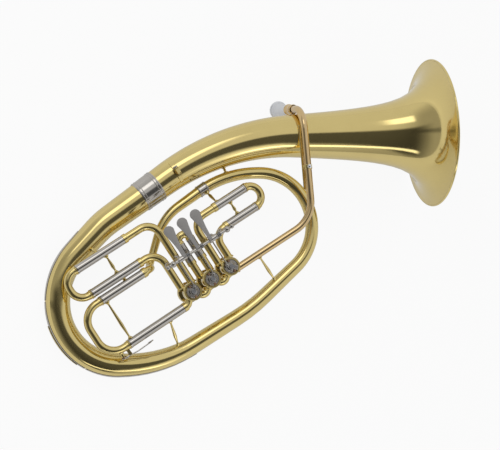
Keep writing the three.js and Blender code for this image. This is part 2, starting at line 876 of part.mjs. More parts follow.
function lever(valve) {
  const [from, to] = leverSpan(valve);
  const sleeve = rod(pivot.clone().setX(from), pivot.clone().setX(to), sleeveOuter, smallSides);
  const x = armX(valve);
  const half = armWidth / 2;
  const thickness = flat(0, half);
  const armEnd = rodHeight - leverArmLength * Math.cos(leverSwing) - eyeBore;
  const arm = block(flat(x - half, -half, armEnd - rodHeight), flat(x + half, half, 0));
  arm.rotateX(leverSwing);
  arm.translate(0, leverRodPlace, rodHeight);
  const pinSpot = flat(x, armSpot(0).y, rodHeight - leverArmLength * Math.cos(leverSwing));
  const pinReach = linkDrift + linkThickness / 2 + eyePlay;
  const pinEnd = pinSpot.clone().setX(linkX(valve) + valve.crankSide * pinReach);
  const pin = rod(pinEnd, pinSpot, crankPinRadius, smallSides);
  const boreEnds = [pivot.clone().setX(from - overrun), pivot.clone().setX(to + overrun)];
  const bore = rod(...boreEnds, rodBore, smallSides);
  return cut(fuse(sleeve, fingerPlate(fingerX(valve)), arm, pin), bore);
}

for (const valve of valves) {
  const { number } = valve;
  addPiece(row, `casing_${number}`, casing(valve), 'lacquer');
  addPiece(row, `rotor_${number}`, rotor(valve), 'lacquer');
  addPiece(row, `back_cap_${number}`, backCap(valve), 'lacquer');
  addPiece(row, `bearing_plate_${number}`, bearingPlate(valve), 'nickel');
  addPiece(row, `stop_arm_${number}`, stopArm(valve), 'nickel');
  addPiece(row, `link_rod_${number}`, linkRod(valve), 'nickel');
  addPiece(row, `lever_${number}`, lever(valve), 'matte');
}

// Hinge rod and its two turned posts, which stand on slide tubes
const postSpots = [
  { name: 'rod_post_left', x: -valvePitch - portOffset },
  { name: 'rod_post_right', x: rodEnd - rodFinialRadius - postHeadRadius - clearance },
];
const rodBody = turned(
  [[0, 0], [rodRadius, 0], [rodRadius, rodEnd - rodStart], [0, rodEnd - rodStart]],
  smallSides,
  pivot.clone().setX(rodStart),
  flat(1, 0),
);
const finials = [rodStart, rodEnd].map((x) => ball(pivot.clone().setX(x), rodFinialRadius));
addPiece(row, 'hinge_rod', fuse(rodBody, ...finials), 'nickel');

function rodPost(x, floor) {
  const tall = rodHeight - floor;
  const footHeight = postFootRadius / 2;
  const profile = [
    [0, 0],
    [postFootRadius, 0],
    [postFootRadius, footHeight],
    [postRadius, 2 * footHeight],
    [postRadius, tall / 2 - footHeight],
    [postCollarRadius, tall / 2],
    [postRadius, tall / 2 + footHeight],
    [postRadius, tall],
    [0, tall],
  ];
  const stem = turned(profile, smallSides, flat(x, leverRodPlace, floor), up);
  const head = ball(flat(x, leverRodPlace, rodHeight), postHeadRadius);
  const across = flat(overrun, 0);
  const middle = flat(x, leverRodPlace, rodHeight);
  const hole = rod(middle.clone().sub(across), middle.clone().add(across), rodBore, smallSides);
  return cut(fuse(stem, head), hole);
}

// Return springs wound round the hinge rod beside each lever
function springCoil(from, handed) {
  const coilRadius = rodRadius + springGap + springWireRadius;
  const steps = springCurls * curlSteps;
  const centre = [];
  for (let i = 0; i <= steps; i += 1) {
    const angle = (2 * Math.PI * i) / curlSteps;
    const y = coilRadius * Math.cos(angle);
    const z = coilRadius * Math.sin(angle) * handed;
    centre.push(flat(from + springWireRadius + (springPitch * i) / curlSteps, pivot.y + y, pivot.z + z));
  }
  const loops = centre.map((spot, i) => {
    const before = centre[Math.max(0, i - 1)];
    const after = centre[Math.min(steps, i + 1)];
    const dir = after.clone().sub(before).normalize();
    const side = flat(1, 0).addScaledVector(dir, -dir.x).normalize();
    return ringPoints({ spot, side, cross: dir.clone().cross(side) }, springWireRadius, wireSides);
  });
  return { geometry: skin(loops, false), centre };
}

// Least gap between one turn of a coil and the turns that follow it
function leastGap(centre) {
  let least = Infinity;
  for (let i = 0; i < centre.length; i += 1) {
    for (let j = i + curlSteps / 2; j < centre.length; j += 1) {
      least = Math.min(least, centre[i].distanceTo(centre[j]) - 2 * springWireRadius);
    }
  }
  return least;
}

for (const valve of valves) {
  const [, to] = leverSpan(valve);
  const { geometry, centre } = springCoil(to + clearance, 1);
  console.log(`lever spring ${valve.number}: least gap between turns ${leastGap(centre).toFixed(2)} mm`);
  addPiece(row, `lever_spring_${valve.number}`, geometry, 'steel');
}

// Slide tubing, in the row frame
const cutterRadius = casingRadius + clearance;
const casingCutter = (x) => rod(flat(x, 0, -overrun), flat(x, 0, rodHeight), cutterRadius, 2 * roundSides);
const leg = (x, y) => flat(x, y, valvePlane);

// Tube that steps up to the sleeve that a slide leg runs in
function sleevedProfile(route, sleeveAt) {
  const step = clearance;
  return [
    [0, tubeRadius, tubeBore],
    [sleeveAt - step, tubeRadius, tubeBore],
    [sleeveAt, sleeveRadius, tubeBore],
    [sleeveAt + step, sleeveRadius, sleeveBore],
    [route.length, sleeveRadius, sleeveBore],
  ];
}

function portTube(slide, side, far) {
  const y = far ? slide.far : slide.near;
  const x = side * (valvePitch + (far ? -portOffset : portOffset));
  const route = new Route([
    { spot: leg(x, 0) },
    { spot: leg(x, y), bend: slide.tubeBend },
    { spot: leg(side * slide.end, y) },
  ]);
  const sleeveLength = slide.end - slide.start;
  const shell = tube(route, sleevedProfile(route, route.length - sleeveLength), tubeSides);
  return { route, shell: cut(shell, casingCutter(side * valvePitch)) };
}

const insertOf = (slide) => legInsertShare * (slide.end - slide.start);

function crook(corners, insert) {
  const route = new Route(corners);
  const lip = collarLength / 2;
  const seat = insert + clearance;
  const profile = [
    [0, tubeRadius, tubeBore],
    [seat, tubeRadius, tubeBore],
    [seat + clearance, sleeveRadius, tubeBore],
    [seat + lip, sleeveRadius, tubeBore],
    [seat + lip + clearance, tubeRadius, tubeBore],
    [route.length - seat - lip - clearance, tubeRadius, tubeBore],
    [route.length - seat - lip, sleeveRadius, tubeBore],
    [route.length - seat - clearance, sleeveRadius, tubeBore],
    [route.length - seat, tubeRadius, tubeBore],
    [route.length, tubeRadius, tubeBore],
  ];
  return tube(route, profile, tubeSides);
}

function sideCrook(slide, side) {
  const inner = side * (slide.end - insertOf(slide));
  return crook([
    { spot: leg(inner, slide.near) },
    { spot: leg(side * slide.reach, slide.near), bend: slide.bend },
    { spot: leg(side * slide.reach, slide.far), bend: slide.bend },
    { spot: leg(inner, slide.far) },
  ], insertOf(slide));
}

// Third slide, with a stay between its sleeves
const thirdFar = portTube(thirdSlide, -1, true);
const thirdNear = portTube(thirdSlide, -1, false);
const legStayShare = 0.42;
const stayPlace = (slide) => THREE.MathUtils.lerp(slide.start, slide.end, legStayShare);
const legStay = (slide, side) => {
  const x = side * stayPlace(slide);
  return brace(leg(x, slide.far), sleeveRadius, leg(x, slide.near), sleeveRadius, -tubeWall);
};

// Stays that hold the slides: to the left bow, to the main slide and to the loop's ring
const bowStayPlaceShare = 0.51;
const bowStayX = -THREE.MathUtils.lerp(thirdSlide.start, thirdSlide.end, bowStayPlaceShare);
const bowStayFrom = rowSpot(bowStayX, thirdSlide.far, valvePlane);
const bowStayFoot = nearestOnBody(bowStayFrom, places.lowerBow, places.bellJoint);
const slantSeat = -tubeWall / 4;
const bowStay = brace(bowStayFrom, sleeveRadius, bowStayFoot.spot, bodyRadius(bowStayFoot.s), slantSeat);
const spacerShare = 0.37;
const spacerX = -THREE.MathUtils.lerp(thirdSlide.start, thirdSlide.end, spacerShare);
const spacerSpots = [leg(spacerX, thirdSlide.near), leg(spacerX, mainSlide.high)];
const spacer = brace(spacerSpots[0], sleeveRadius, spacerSpots[1], sleeveRadius, -tubeWall);
addPiece(row, 'third_upper_tube', fuse(thirdFar.shell, legStay(thirdSlide, -1), toRow(bowStay)), 'nickel');
addPiece(row, 'third_lower_tube', fuse(thirdNear.shell, spacer), 'nickel');
addPiece(row, 'third_crook', sideCrook(thirdSlide, -1), 'lacquer');

// First slide
const firstFar = portTube(firstSlide, 1, true);
const firstNear = portTube(firstSlide, 1, false);
const ringOuter = widestUnderRing + clearance + chordError + ferruleWall;
const ringStayFrom = rowSpot(firstSlide.start + collarLength, firstSlide.far, valvePlane);
const ringStayFoot = nearestOnBody(ringStayFrom, loopFerrule[0][0], loopFerrule.at(-1)[0]);
const ringStay = brace(ringStayFrom, sleeveRadius, ringStayFoot.spot, ringOuter, -tubeWall);
addPiece(row, 'first_upper_tube', fuse(firstFar.shell, legStay(firstSlide, 1), toRow(ringStay)), 'nickel');
addPiece(row, 'first_lower_tube', firstNear.shell, 'nickel');
addPiece(row, 'first_crook', sideCrook(firstSlide, 1), 'lacquer');

// Second slide
for (const [name, side] of [['second_left_tube', -1], ['second_right_tube', 1]]) {
  const x = side * portOffset;
  const route = new Route([{ spot: leg(x, 0) }, { spot: leg(x, secondSlide.end) }]);
  const shell = tube(route, sleevedProfile(route, secondSlide.start), tubeSides);
  addPiece(row, name, cut(shell, casingCutter(0)), 'nickel');
}
const secondFoot = secondSlide.end - insertOf(secondSlide);
addPiece(row, 'second_crook', crook([
  { spot: leg(-portOffset, secondFoot) },
  { spot: leg(-portOffset, secondSlide.reach), bend: secondSlide.bend },
  { spot: leg(portOffset, secondSlide.reach), bend: secondSlide.bend },
  { spot: leg(portOffset, secondFoot) },
], insertOf(secondSlide)), 'lacquer');

// Main slide: the upper sleeve meets the body's tail, the lower one comes from valve 3, and a
// stay stands between them
const upperRoute = new Route([
  { spot: leg(-mainSlide.start, mainSlide.high) },
  { spot: leg(-mainSlide.end, mainSlide.high) },
]);
const upperProfile = sleevedProfile(upperRoute, collarLength);
const sleeveStayX = -mainSlide.end + collarLength;
const sleeveStayEnds = [leg(sleeveStayX, mainSlide.high), leg(sleeveStayX, mainSlide.low)];
const sleeveStay = brace(sleeveStayEnds[0], sleeveRadius, sleeveStayEnds[1], sleeveRadius, -tubeWall);
const upperShell = tube(upperRoute, upperProfile, tubeSides);
addPiece(row, 'main_upper_tube', fuse(upperShell, sleeveStay), 'nickel');
const elbowX = -valvePitch + mainSlide.low;
const lowerRoute = new Route([
  { spot: leg(-valvePitch, 0) },
  { spot: leg(elbowX, mainSlide.low), bend: elbowBend },
  { spot: leg(-mainSlide.end, mainSlide.low) },
]);
const lowerSleeveStart = lowerRoute.length - (mainSlide.end + elbowX - elbowBend);
const lowerShell = tube(lowerRoute, sleevedProfile(lowerRoute, lowerSleeveStart), tubeSides);
addPiece(row, 'main_lower_tube', cut(lowerShell, casingCutter(-valvePitch)), 'nickel');
const mainInner = -mainSlide.end + insertOf(mainSlide);
const mainBow = crook([
  { spot: leg(mainInner, mainSlide.high) },
  { spot: leg(-mainSlide.reach, mainSlide.high), bend: mainSlide.bend },
  { spot: leg(-mainSlide.reach, mainSlide.low), bend: mainSlide.bend },
  { spot: leg(mainInner, mainSlide.low) },
], insertOf(mainSlide));

// Water key on the main slide's bow
const nippleX = -mainSlide.reach + nipplePlaceShare * mainSlide.bend;
const nippleTop = mainSlide.low - tubeRadius;
const nippleSpots = [leg(nippleX, nippleTop + nippleSeat), leg(nippleX, nippleTop - nippleLength)];
const nipple = ring(...nippleSpots, nippleRadius, nippleBore, smallSides);
const keyPinX = -mainSlide.end - collarLength - keyPinRadius;
const keyPinY = nippleTop - nippleLength - keyBarRadius;
const earHalf = keyBarRadius + clearance;
const earThickness = keyPinRadius;
const earRadius = 2 * keyPinRadius;
const ears = [-1, 1].map((side) => {
  const middle = valvePlane + side * (earHalf + earThickness / 2);
  const [bottom, top] = [middle - earThickness / 2, middle + earThickness / 2];
  return block(
    flat(keyPinX - earRadius, keyPinY - earRadius, bottom),
    flat(keyPinX + earRadius, nippleTop + tubeWall, top),
  );
});
const keyPin = rod(
  flat(keyPinX, keyPinY, valvePlane - earHalf - earThickness / 2),
  flat(keyPinX, keyPinY, valvePlane + earHalf + earThickness / 2),
  keyPinRadius,
  smallSides,
);
const drillFoot = leg(nippleX, nippleTop - nippleLength - overrun);
const nippleDrill = rod(drillFoot, leg(nippleX, mainSlide.low), nippleBore, smallSides);
const mainPieces = fuse(mainBow, nipple, ...ears, keyPin);
addPiece(row, 'main_crook', cut(mainPieces, nippleDrill), 'lacquer');

const padTop = nippleTop - nippleLength - clearance;
const touchX = keyPinX + keyReach;
const touchY = nippleTop - keyTouchDrop;
const keyBarrel = rod(
  flat(keyPinX, keyPinY, valvePlane - keyBarRadius),
  flat(keyPinX, keyPinY, valvePlane + keyBarRadius),
  2 * keyBarRadius,
  smallSides,
);
const keyArmY = padTop - keyPadThickness;
const keyArm = rod(leg(nippleX, keyArmY), leg(keyPinX, keyPinY - keyBarRadius), keyBarRadius, smallSides);
const keyTail = rod(leg(keyPinX, keyPinY - keyBarRadius), leg(touchX, touchY), keyBarRadius, smallSides);
const keyPad = rod(leg(nippleX, padTop), leg(nippleX, padTop - keyPadThickness), keyPadRadius, smallSides);
const keyTouch = rod(leg(touchX, touchY + keyBarRadius), leg(touchX, touchY), keyTouchRadius, smallSides);
const keyBore = rod(
  flat(keyPinX, keyPinY, valvePlane - overrun),
  flat(keyPinX, keyPinY, valvePlane + overrun),
  keyPinRadius + clearance,
  smallSides,
);
addPiece(row, 'water_key', cut(fuse(keyBarrel, keyArm, keyTail, keyPad, keyTouch), keyBore), 'lacquer');

// Links between neighbouring valves
for (const [name, x] of [['valve_link_1_2', valvePitch / 2], ['valve_link_2_3', -valvePitch / 2]]) {
  const route = new Route([
    { spot: leg(x + valvePitch / 2, 0) },
    { spot: leg(x, -valvePitch / 2), bend: linkBend },
    { spot: leg(x - valvePitch / 2, 0) },
  ]);
  const profile = [[0, tubeRadius, tubeBore], [route.length, tubeRadius, tubeBore]];
  const shell = tube(route, profile, tubeSides);
  const cutters = [x + valvePitch / 2, x - valvePitch / 2].map(casingCutter);
  addPiece(row, name, cut(shell, ...cutters), 'lacquer');
}

// Posts of the hinge rod, seated on the tubes beneath them
const postFloor = valvePlane + tubeRadius + clearance;
for (const { name, x } of postSpots) addPiece(row, name, rodPost(x, postFloor), 'nickel');

// Lead pipe, in the horn frame: out of valve 1, over the front of the bell, and back past its
// side so closely that the receiver just clears it
const pipeX = pipeSideShare * bodyLength;
const pipeStart = rowSpot(valvePitch, -portOffset, valvePlane);
const bellAtPipe = bellRadiusAt(mouth - (bodyLength - pipeX)) + chordError;
const pipeLift = bellAtPipe + clearance + stayThickness + clearance + pipeRadius;
const receiverOuter = pipeRadius + clearance + receiverWall;
const [leanAcross, leanUp] = receiverLeanShares;
const receiverAxis = new THREE.Vector3(leanAcross, leanUp, -1).normalize();
const pastBell = (bellAtPipe + clearance + receiverOuter) * Math.hypot(1, leanUp);
const pipeTop = bodyHeight + pastBell - leanUp * pipeLift;
const rowRun = (pipeX + pipeLean - pipeStart.x) / Math.cos(rowAngle);
const pipeTurn = rowSpot(valvePitch + rowRun, -portOffset, pipeLift);
const pipeCorner = new THREE.Vector3(pipeX, pipeTop, pipeLift);
const pipeSeat = receiverLength - shankInsert - clearance;
const receiverSpot = pipeCorner.clone().addScaledVector(receiverAxis, pipeBend + pipeDrop);
const pipeRoute = new Route([
  { spot: pipeStart },
  { spot: pipeTurn, bend: pipeTurnBend },
  { spot: pipeCorner, bend: pipeBend },
  { spot: receiverSpot.clone().addScaledVector(receiverAxis, pipeSeat) },
]);
const pipeBoreEnd = shankTipRadius + clearance;
const pipeProfile = [
  [0, pipeRadius, pipeRadius - pipeWall],
  [pipeRoute.length, pipeRadius, pipeBoreEnd - pipeWall],
];
const valveOne = rowSpot(valvePitch, 0, 0);
const pipeCutter = rod(valveOne, valveOne.clone().setZ(rodHeight), cutterRadius, 2 * roundSides);
addPiece(horn, 'lead_pipe', cut(tube(pipeRoute, pipeProfile, tubeSides), pipeCutter), 'rose');

// Receiver on the pipe's end, with the mouthpiece's shank in it
const shankSeatRadius = shankTipRadius + shankWall;
const receiverBoreRadius = shankSeatRadius + clearance;
const receiverProfile = [
  [pipeRadius + clearance, 0],
  [receiverOuter, 0],
  [receiverOuter, receiverRingShares[0] * receiverLength],
  [receiverOuter + receiverWall, receiverRingShares[1] * receiverLength],
  [receiverOuter + receiverWall, receiverLength],
  [receiverBoreRadius + clearance, receiverLength],
  [receiverBoreRadius, pipeSeat + 2 * clearance],
  [pipeRadius + clearance, pipeSeat + clearance],
  [pipeRadius + clearance, 0],
];
addPiece(horn, 'receiver', turned(receiverProfile, roundSides, receiverSpot, receiverAxis), 'nickel');

// Mouthpiece: the outside goes from the shank's tip to the rim, the inside from the rim back
// through cup and throat. Each row is a share of the rim's radius and a share of the cup's depth.
const cupFloor = mouthpieceLength - cupDepth;
const bowlOuterShares = [[0.62, 0.1], [0.8, 0.5], [0.86, 0.78], [1, 0.84], [1, 0.95], [0.9, 1]];
const cupInnerShares = [[0.76, 1], [0.68, 0.91], [0.64, 0.6], [0.47, 0.22]];
const bowlSpot = ([radiusShare, depthShare]) => [
  radiusShare * mouthpieceRimRadius,
  cupFloor + depthShare * cupDepth,
];
const shankBore = shankTipRadius - shankWall;
const mouthpieceProfile = [
  [shankBore, 0],
  [shankTipRadius, 0],
  [shankSeatRadius - clearance / 2, shankInsert],
  [receiverBoreRadius, neckShare * cupFloor],
  ...bowlOuterShares.map(bowlSpot),
  ...cupInnerShares.map(bowlSpot),
  [throatRadius, cupFloor],
  [shankBore, 0],
];
const shankTip = receiverSpot.clone().addScaledVector(receiverAxis, receiverLength - shankInsert);
addPiece(horn, 'mouthpiece', turned(mouthpieceProfile, roundSides, shankTip, receiverAxis), 'silver');

// Stay strip between bell and lead pipe. A band round the pipe holds it, with a round-headed
// screw in front. It is made along an upright pipe at the origin and then leaned with the pipe.
const stayPlane = -pipeRadius - clearance;
const stayFloor = stayPlane - stayThickness;
const stayStrip = block(flat(-stayWidth, -stayLength, stayFloor), flat(0, 0, stayPlane));
const bandBore = pipeRadius + clearance;
const bandRadius = bandBore + stayBandWall;
const bandPlace = -stayScrewShare * stayLength;
const bandEnds = [flat(0, bandPlace - stayBandLength / 2), flat(0, bandPlace + stayBandLength / 2)];
const stayBand = ring(...bandEnds, bandRadius, bandBore, roundSides);
const screwFoot = flat(0, bandPlace, bandBore + stayBandWall / 2);
const screwTop = flat(0, bandPlace, bandRadius + stayScrewRadius);
const stayScrew = rod(screwFoot, screwTop, screwRadius, smallSides);
const pipeStay = fuse(stayStrip, stayBand, stayScrew, ball(screwTop, stayScrewRadius));
const stayHead = pipeCorner.clone().addScaledVector(pipeTurn.clone().sub(pipeCorner).normalize(), pipeBend);
pipeStay.rotateZ(Math.atan2(pipeTurn.x - pipeCorner.x, pipeCorner.y - pipeTurn.y));
pipeStay.translate(stayHead.x, stayHead.y, stayHead.z);
addPiece(horn, 'pipe_stay', pipeStay, 'lacquer');

// Stays between the lead pipe, the main slide and the lower branch
const pipeStayPlace = 43;
const slideStayPlace = -73;
const pipeStaySpot = pipeRoute.at(pipeStayPlace).spot;
const slideStaySpot = rowSpot(slideStayPlace, mainSlide.low, valvePlane);
const stayBars = [
  { name: 'pipe_bow_stay', from: pipeStaySpot, radius: pipeRadius },
  { name: 'slide_bow_stay', from: slideStaySpot, radius: sleeveRadius },
];
for (const { name, from, radius } of stayBars) {
  const foot = nearestOnBody(from, places.sideBow, places.lowerBow);
  addPiece(horn, name, brace(from, radius, foot.spot, bodyRadius(foot.s), clearance), 'lacquer');
}

// Holder for a music clip on the bell's branch: a strap over the tube, a square socket, a screw
const holderPlaceShare = 0.738;
const holderPlace = holderPlaceShare * mouth;
const strapBore = bellRadiusAt(holderPlace + holderLength / 2) + clearance + chordError;
const strapOuter = strapBore + holderStrapThickness;
const strapShape = new THREE.Shape();
const strapEnds = [Math.PI / 2 - holderStrapHalfAngle, Math.PI / 2 + holderStrapHalfAngle];
strapShape.absarc(0, 0, strapOuter, ...strapEnds, false);
strapShape.absarc(0, 0, strapBore, ...strapEnds.toReversed(), true);
const strapSettings = { depth: holderLength, bevelEnabled: false, curveSegments: strapSteps };
const strap = new THREE.ExtrudeGeometry(strapShape, strapSettings);
strap.translate(0, 0, -holderLength / 2);
strap.rotateX(Math.PI / 2);
strap.rotateZ(Math.PI / 2);
const holderFloor = strapBore + holderStrapThickness / 2;
const socketSpot = flat(-holderLength / 2, -holderWidth / 2, holderFloor);
const socket = block(socketSpot, flat(holderLength / 2, holderWidth / 2, holderFloor + holderHeight));
const boreMiddle = holderFloor + holderHeight / 2 + holderStrapThickness / 2;
const socketBore = block(
  flat(-holderLength, -holderBore / 2, boreMiddle - holderBore / 2),
  flat(holderLength, holderBore / 2, boreMiddle + holderBore / 2),
);
const holeRadius = screwRadius + clearance;
const screwHole = rod(flat(0, 0, boreMiddle), flat(0, holderWidth, boreMiddle), holeRadius, smallSides);
const screwTip = flat(0, holderBore / 2, boreMiddle);
const screwShoulder = flat(0, holderWidth / 2 + clearance, boreMiddle);
const screwEnd = screwShoulder.clone().add(flat(0, screwHeadWidth));
const holderScrew = fuse(
  rod(screwTip, screwEnd, screwRadius, smallSides),
  rod(screwShoulder, screwEnd, screwHeadRadius, smallSides),
);

// Turns a geometry made over the origin to its place over the body's tube
function overBody(geometry, place) {
  const { spot, dir } = bodyRoute.at(place);
  geometry.rotateZ(Math.atan2(dir.y, dir.x));
  geometry.translate(spot.x, spot.y, spot.z);
  return geometry;
}
const holder = cut(fuse(strap, socket), socketBore, screwHole);
addPiece(horn, 'clip_holder', overBody(holder, holderPlace), 'lacquer');
addPiece(horn, 'clip_screw', overBody(holderScrew, holderPlace), 'nickel');

// Lays the horn down: the hull's face under the centre of mass turns level and becomes the base
function layDown(group) {
  group.updateMatrixWorld(true);
  const points = [];
  const centre = new THREE.Vector3();
  let volume = 0;
  group.traverse((piece) => {
    if (!piece.isMesh) return;
    const placed = piece.geometry.toNonIndexed().applyMatrix4(piece.matrixWorld);
    const spots = placed.attributes.position;
    for (let i = 0; i < spots.count; i += 3) {
      const [a, b, c] = [0, 1, 2].map((k) => new THREE.Vector3().fromBufferAttribute(spots, i + k));
      const part = a.dot(b.clone().cross(c)) / 6;
      volume += part;
      centre.addScaledVector(a.clone().add(b).add(c), part / 4);
      points.push(a, b, c);
    }
  });
  centre.divideScalar(volume);
  const hull = new ConvexHull().setFromPoints(points);
  const base = hull.faces.find((face) => face.normal.z < 0 && holds(face, centre));
  group.quaternion.setFromUnitVectors(base.normal, backwards);
  group.updateMatrixWorld(true);
  const bounds = new THREE.Box3().setFromObject(group, true);
  const middle = bounds.getCenter(new THREE.Vector3());
  group.position.set(-middle.x, -middle.y, -bounds.min.z);
}

// Whether a spot lies straight behind a face, within all its edges
function holds(face, spot) {
  let edge = face.edge;
  do {
    const head = edge.head().point;
    const side = head.clone().sub(edge.tail().point);
    if (side.cross(spot.clone().sub(head)).dot(face.normal) < 0) return false;
    edge = edge.next;
  } while (edge !== face.edge);
  return true;
}

layDown(horn);

export default horn;
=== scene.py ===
"""Looks of the alto horn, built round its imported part."""

import json
import math

import bpy
import numpy as np
from bpy.props import FloatProperty, FloatVectorProperty, IntProperty, PointerProperty
from mathutils import Matrix, Vector


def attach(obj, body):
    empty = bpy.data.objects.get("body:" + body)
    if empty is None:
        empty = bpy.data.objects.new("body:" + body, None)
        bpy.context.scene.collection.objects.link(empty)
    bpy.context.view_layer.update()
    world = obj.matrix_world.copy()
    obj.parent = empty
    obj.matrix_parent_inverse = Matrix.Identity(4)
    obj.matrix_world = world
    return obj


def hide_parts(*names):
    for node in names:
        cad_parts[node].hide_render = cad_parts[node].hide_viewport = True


bl_info = {
    "name": "Alto horn",
    "version": (1, 0, 0),
    "blender": (4, 5, 0),
    "location": "View3D > Sidebar > Horn",
    "description": "Builds the alto horn's tubes, valves, levers, trim and studio",
    "category": "Add Mesh",
}

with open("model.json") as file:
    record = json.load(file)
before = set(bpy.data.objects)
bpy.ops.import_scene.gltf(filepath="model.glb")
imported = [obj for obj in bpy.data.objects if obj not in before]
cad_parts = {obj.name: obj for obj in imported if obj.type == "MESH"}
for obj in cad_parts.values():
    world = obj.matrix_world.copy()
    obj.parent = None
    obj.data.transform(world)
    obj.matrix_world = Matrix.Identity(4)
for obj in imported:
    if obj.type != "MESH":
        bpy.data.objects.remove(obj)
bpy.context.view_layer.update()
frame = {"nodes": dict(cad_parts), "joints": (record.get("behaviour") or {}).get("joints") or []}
ROOT = "horn"
BODY_LENGTH = 0.534
BODY_HEIGHT = 0.299
VALVE_PLANE = 0.026
ROW_ANGLE = math.pi / 6
ROW_CENTRE = (0.368 * BODY_LENGTH, 0.362 * BODY_HEIGHT)


def length(name, default, description):
    """A size in metres that a user can change."""
    return FloatProperty(name=name, description=description, default=default, unit="LENGTH", precision=5)


def share(name, default, description):
    """A share of something, without a unit."""
    return FloatProperty(name=name, description=description, default=default, subtype="FACTOR")


def angle(name, default, description):
    """An angle in radians."""
    return FloatProperty(name=name, description=description, default=default, subtype="ANGLE")


def colour(name, default, description):
    """A plain colour."""
    return FloatVectorProperty(
        name=name, description=description, default=default, subtype="COLOR", size=3, min=0.0, max=1.0
    )


def count(name, default, description):
    """A number of facets or steps."""
    return IntProperty(name=name, description=description, default=default, min=3)


class HornBodySizes(bpy.types.PropertyGroup):
    """Sizes of the bell, the bows and their trim."""

    body_length: length("Body length", BODY_LENGTH, "From the left bow's centreline to the bell's mouth")
    body_height: length("Body height", BODY_HEIGHT, "From the lower bow's centreline to the bell's axis")
    bell_radius: length("Bell radius", 0.103, "Outer radius at the mouth")
    cone_start: length("Cone start", 0.0177, "Radius of the bell's cone at its ferrule")
    cone_end: length("Cone end", 0.0294, "Radius of the bell's cone at the mouth")
    flare_depth: length("Flare depth", 0.0248, "How quickly the bell opens near its mouth")
    flare_power: FloatProperty(
        name="Flare power", description="How sharply the bell opens", default=1.159
    )
    left_bow_radius: length("Left bow radius", 0.0165, "Outer radius of the left bow")
    lower_bow_radius: length("Lower bow radius", 0.0158, "Outer radius of the lower bow")
    lower_branch_radius: length("Lower branch radius", 0.012, "Outer radius of the lower branch's end")
    side_bow_radius: length("Side bow radius", 0.0088, "Outer radius of the side bow")
    loop_radius: length("Loop radius", 0.0075, "Outer radius of the loop")
    wall: length("Wall", 0.0007, "Thickness of the tube's wall")
    rim_bead: length("Rim bead", 0.0016, "Thickness of the rolled rim")
    ferrule_length: length("Ferrule length", 0.029, "Length of the ferrule at the bell")
    ferrule_wall: length("Ferrule wall", 0.0006, "Thickness of a ferrule")
    guard_thickness: length("Guard thickness", 0.0006, "Thickness of the guard strips")
    guard_half_angle: angle("Guard half angle", 0.42, "Half of the angle a guard covers")
    bumper_thickness: length("Bumper thickness", 0.0016, "Thickness of the raised bumper")


class ValveSizes(bpy.types.PropertyGroup):
    """Sizes of the valves and what moves them."""

    pitch: length("Pitch", 0.0303, "From one valve's axis to the next")
    plane: length("Plane", VALVE_PLANE, "Height of the slides above the body's tubes")
    port_offset: length("Port offset", 0.008, "From a valve's axis to its slide tubes")
    casing_radius: length("Casing radius", 0.0124, "Outer radius of a casing")
    casing_length: length("Casing length", 0.028, "Length of a casing")
    lip_length: length("Lip length", 0.0032, "Height of the casing's front lip")
    lip_wall: length("Lip wall", 0.0028, "Thickness of the casing's front lip")
    crank_radius: length("Crank radius", 0.006, "From the stem to the crank pin")
    arm_length: length("Arm length", 0.02, "From the hinge rod to a link's eye")
    rod_place: length("Rod place", 0.045, "From the valves' row to the hinge rod")
    rod_radius: length("Rod radius", 0.002, "Radius of the hinge rod")
    lever_length: length("Lever length", 0.0455, "From the hinge rod to a finger plate's tip")
    finger_pitch: length("Finger pitch", 0.0205, "From one finger plate to the next")
    finger_radius: length("Finger radius", 0.0072, "Radius of a finger plate's tip")
    neck_width: length("Neck width", 0.0046, "Width of a lever at the hinge rod")


class TubeSizes(bpy.types.PropertyGroup):
    """Sizes of the slides, the lead pipe and the mouthpiece."""

    bore: length("Bore", 0.0047, "Inner radius of the slide tubes")
    tube_wall: length("Tube wall", 0.0005, "Thickness of the slide tubes")
    clearance: length("Clearance", 0.0003, "Gap between pieces")
    pipe_radius: length("Pipe radius", 0.0050, "Outer radius of the lead pipe")
    pipe_lean: length("Pipe lean", 0.004, "How far the pipe leans beside the bell")
    pipe_bend: length("Pipe bend", 0.032, "Bend of the lead pipe over the bell")
    pipe_drop: length("Pipe drop", 0.006, "Straight pipe between that bend and the receiver")
    pipe_turn_bend: length("Pipe turn", 0.045, "Bend of the lead pipe under the bell")
    receiver_length: length("Receiver length", 0.022, "Length of the receiver")
    mouthpiece_length: length("Mouthpiece length", 0.064, "Length of the mouthpiece")
    mouthpiece_radius: length("Mouthpiece radius", 0.013, "Radius of the mouthpiece's rim")
    stay_width: length("Stay width", 0.0065, "Width of the strip under the lead pipe")
    stay_length: length("Stay length", 0.088, "Length of the strip under the lead pipe")


class FinishSettings(bpy.types.PropertyGroup):
    """Colours and polish of the metals."""

    lacquer: colour("Yellow brass", (0.82, 0.66, 0.27), "Lacquered yellow brass")
    lacquer_deep: colour("Deep brass", (0.70, 0.54, 0.21), "Darker patches of the yellow brass")
    rose: colour("Rose brass", (0.78, 0.57, 0.29), "Lacquered rose brass")
    nickel: colour("Nickel", (0.58, 0.55, 0.51), "Polished nickel silver")
    matte: colour("Satin plate", (0.30, 0.29, 0.28), "Satin finger plates")
    silver: colour("Silver plate", (0.86, 0.88, 0.92), "Silver-plated mouthpiece")
    steel: colour("Spring steel", (0.42, 0.42, 0.43), "Springs and screws")
    cork: colour("Cork", (0.20, 0.11, 0.06), "Cork of the water key and the stops")
    polish: share("Polish", 0.10, "Roughness of the lacquered brass")


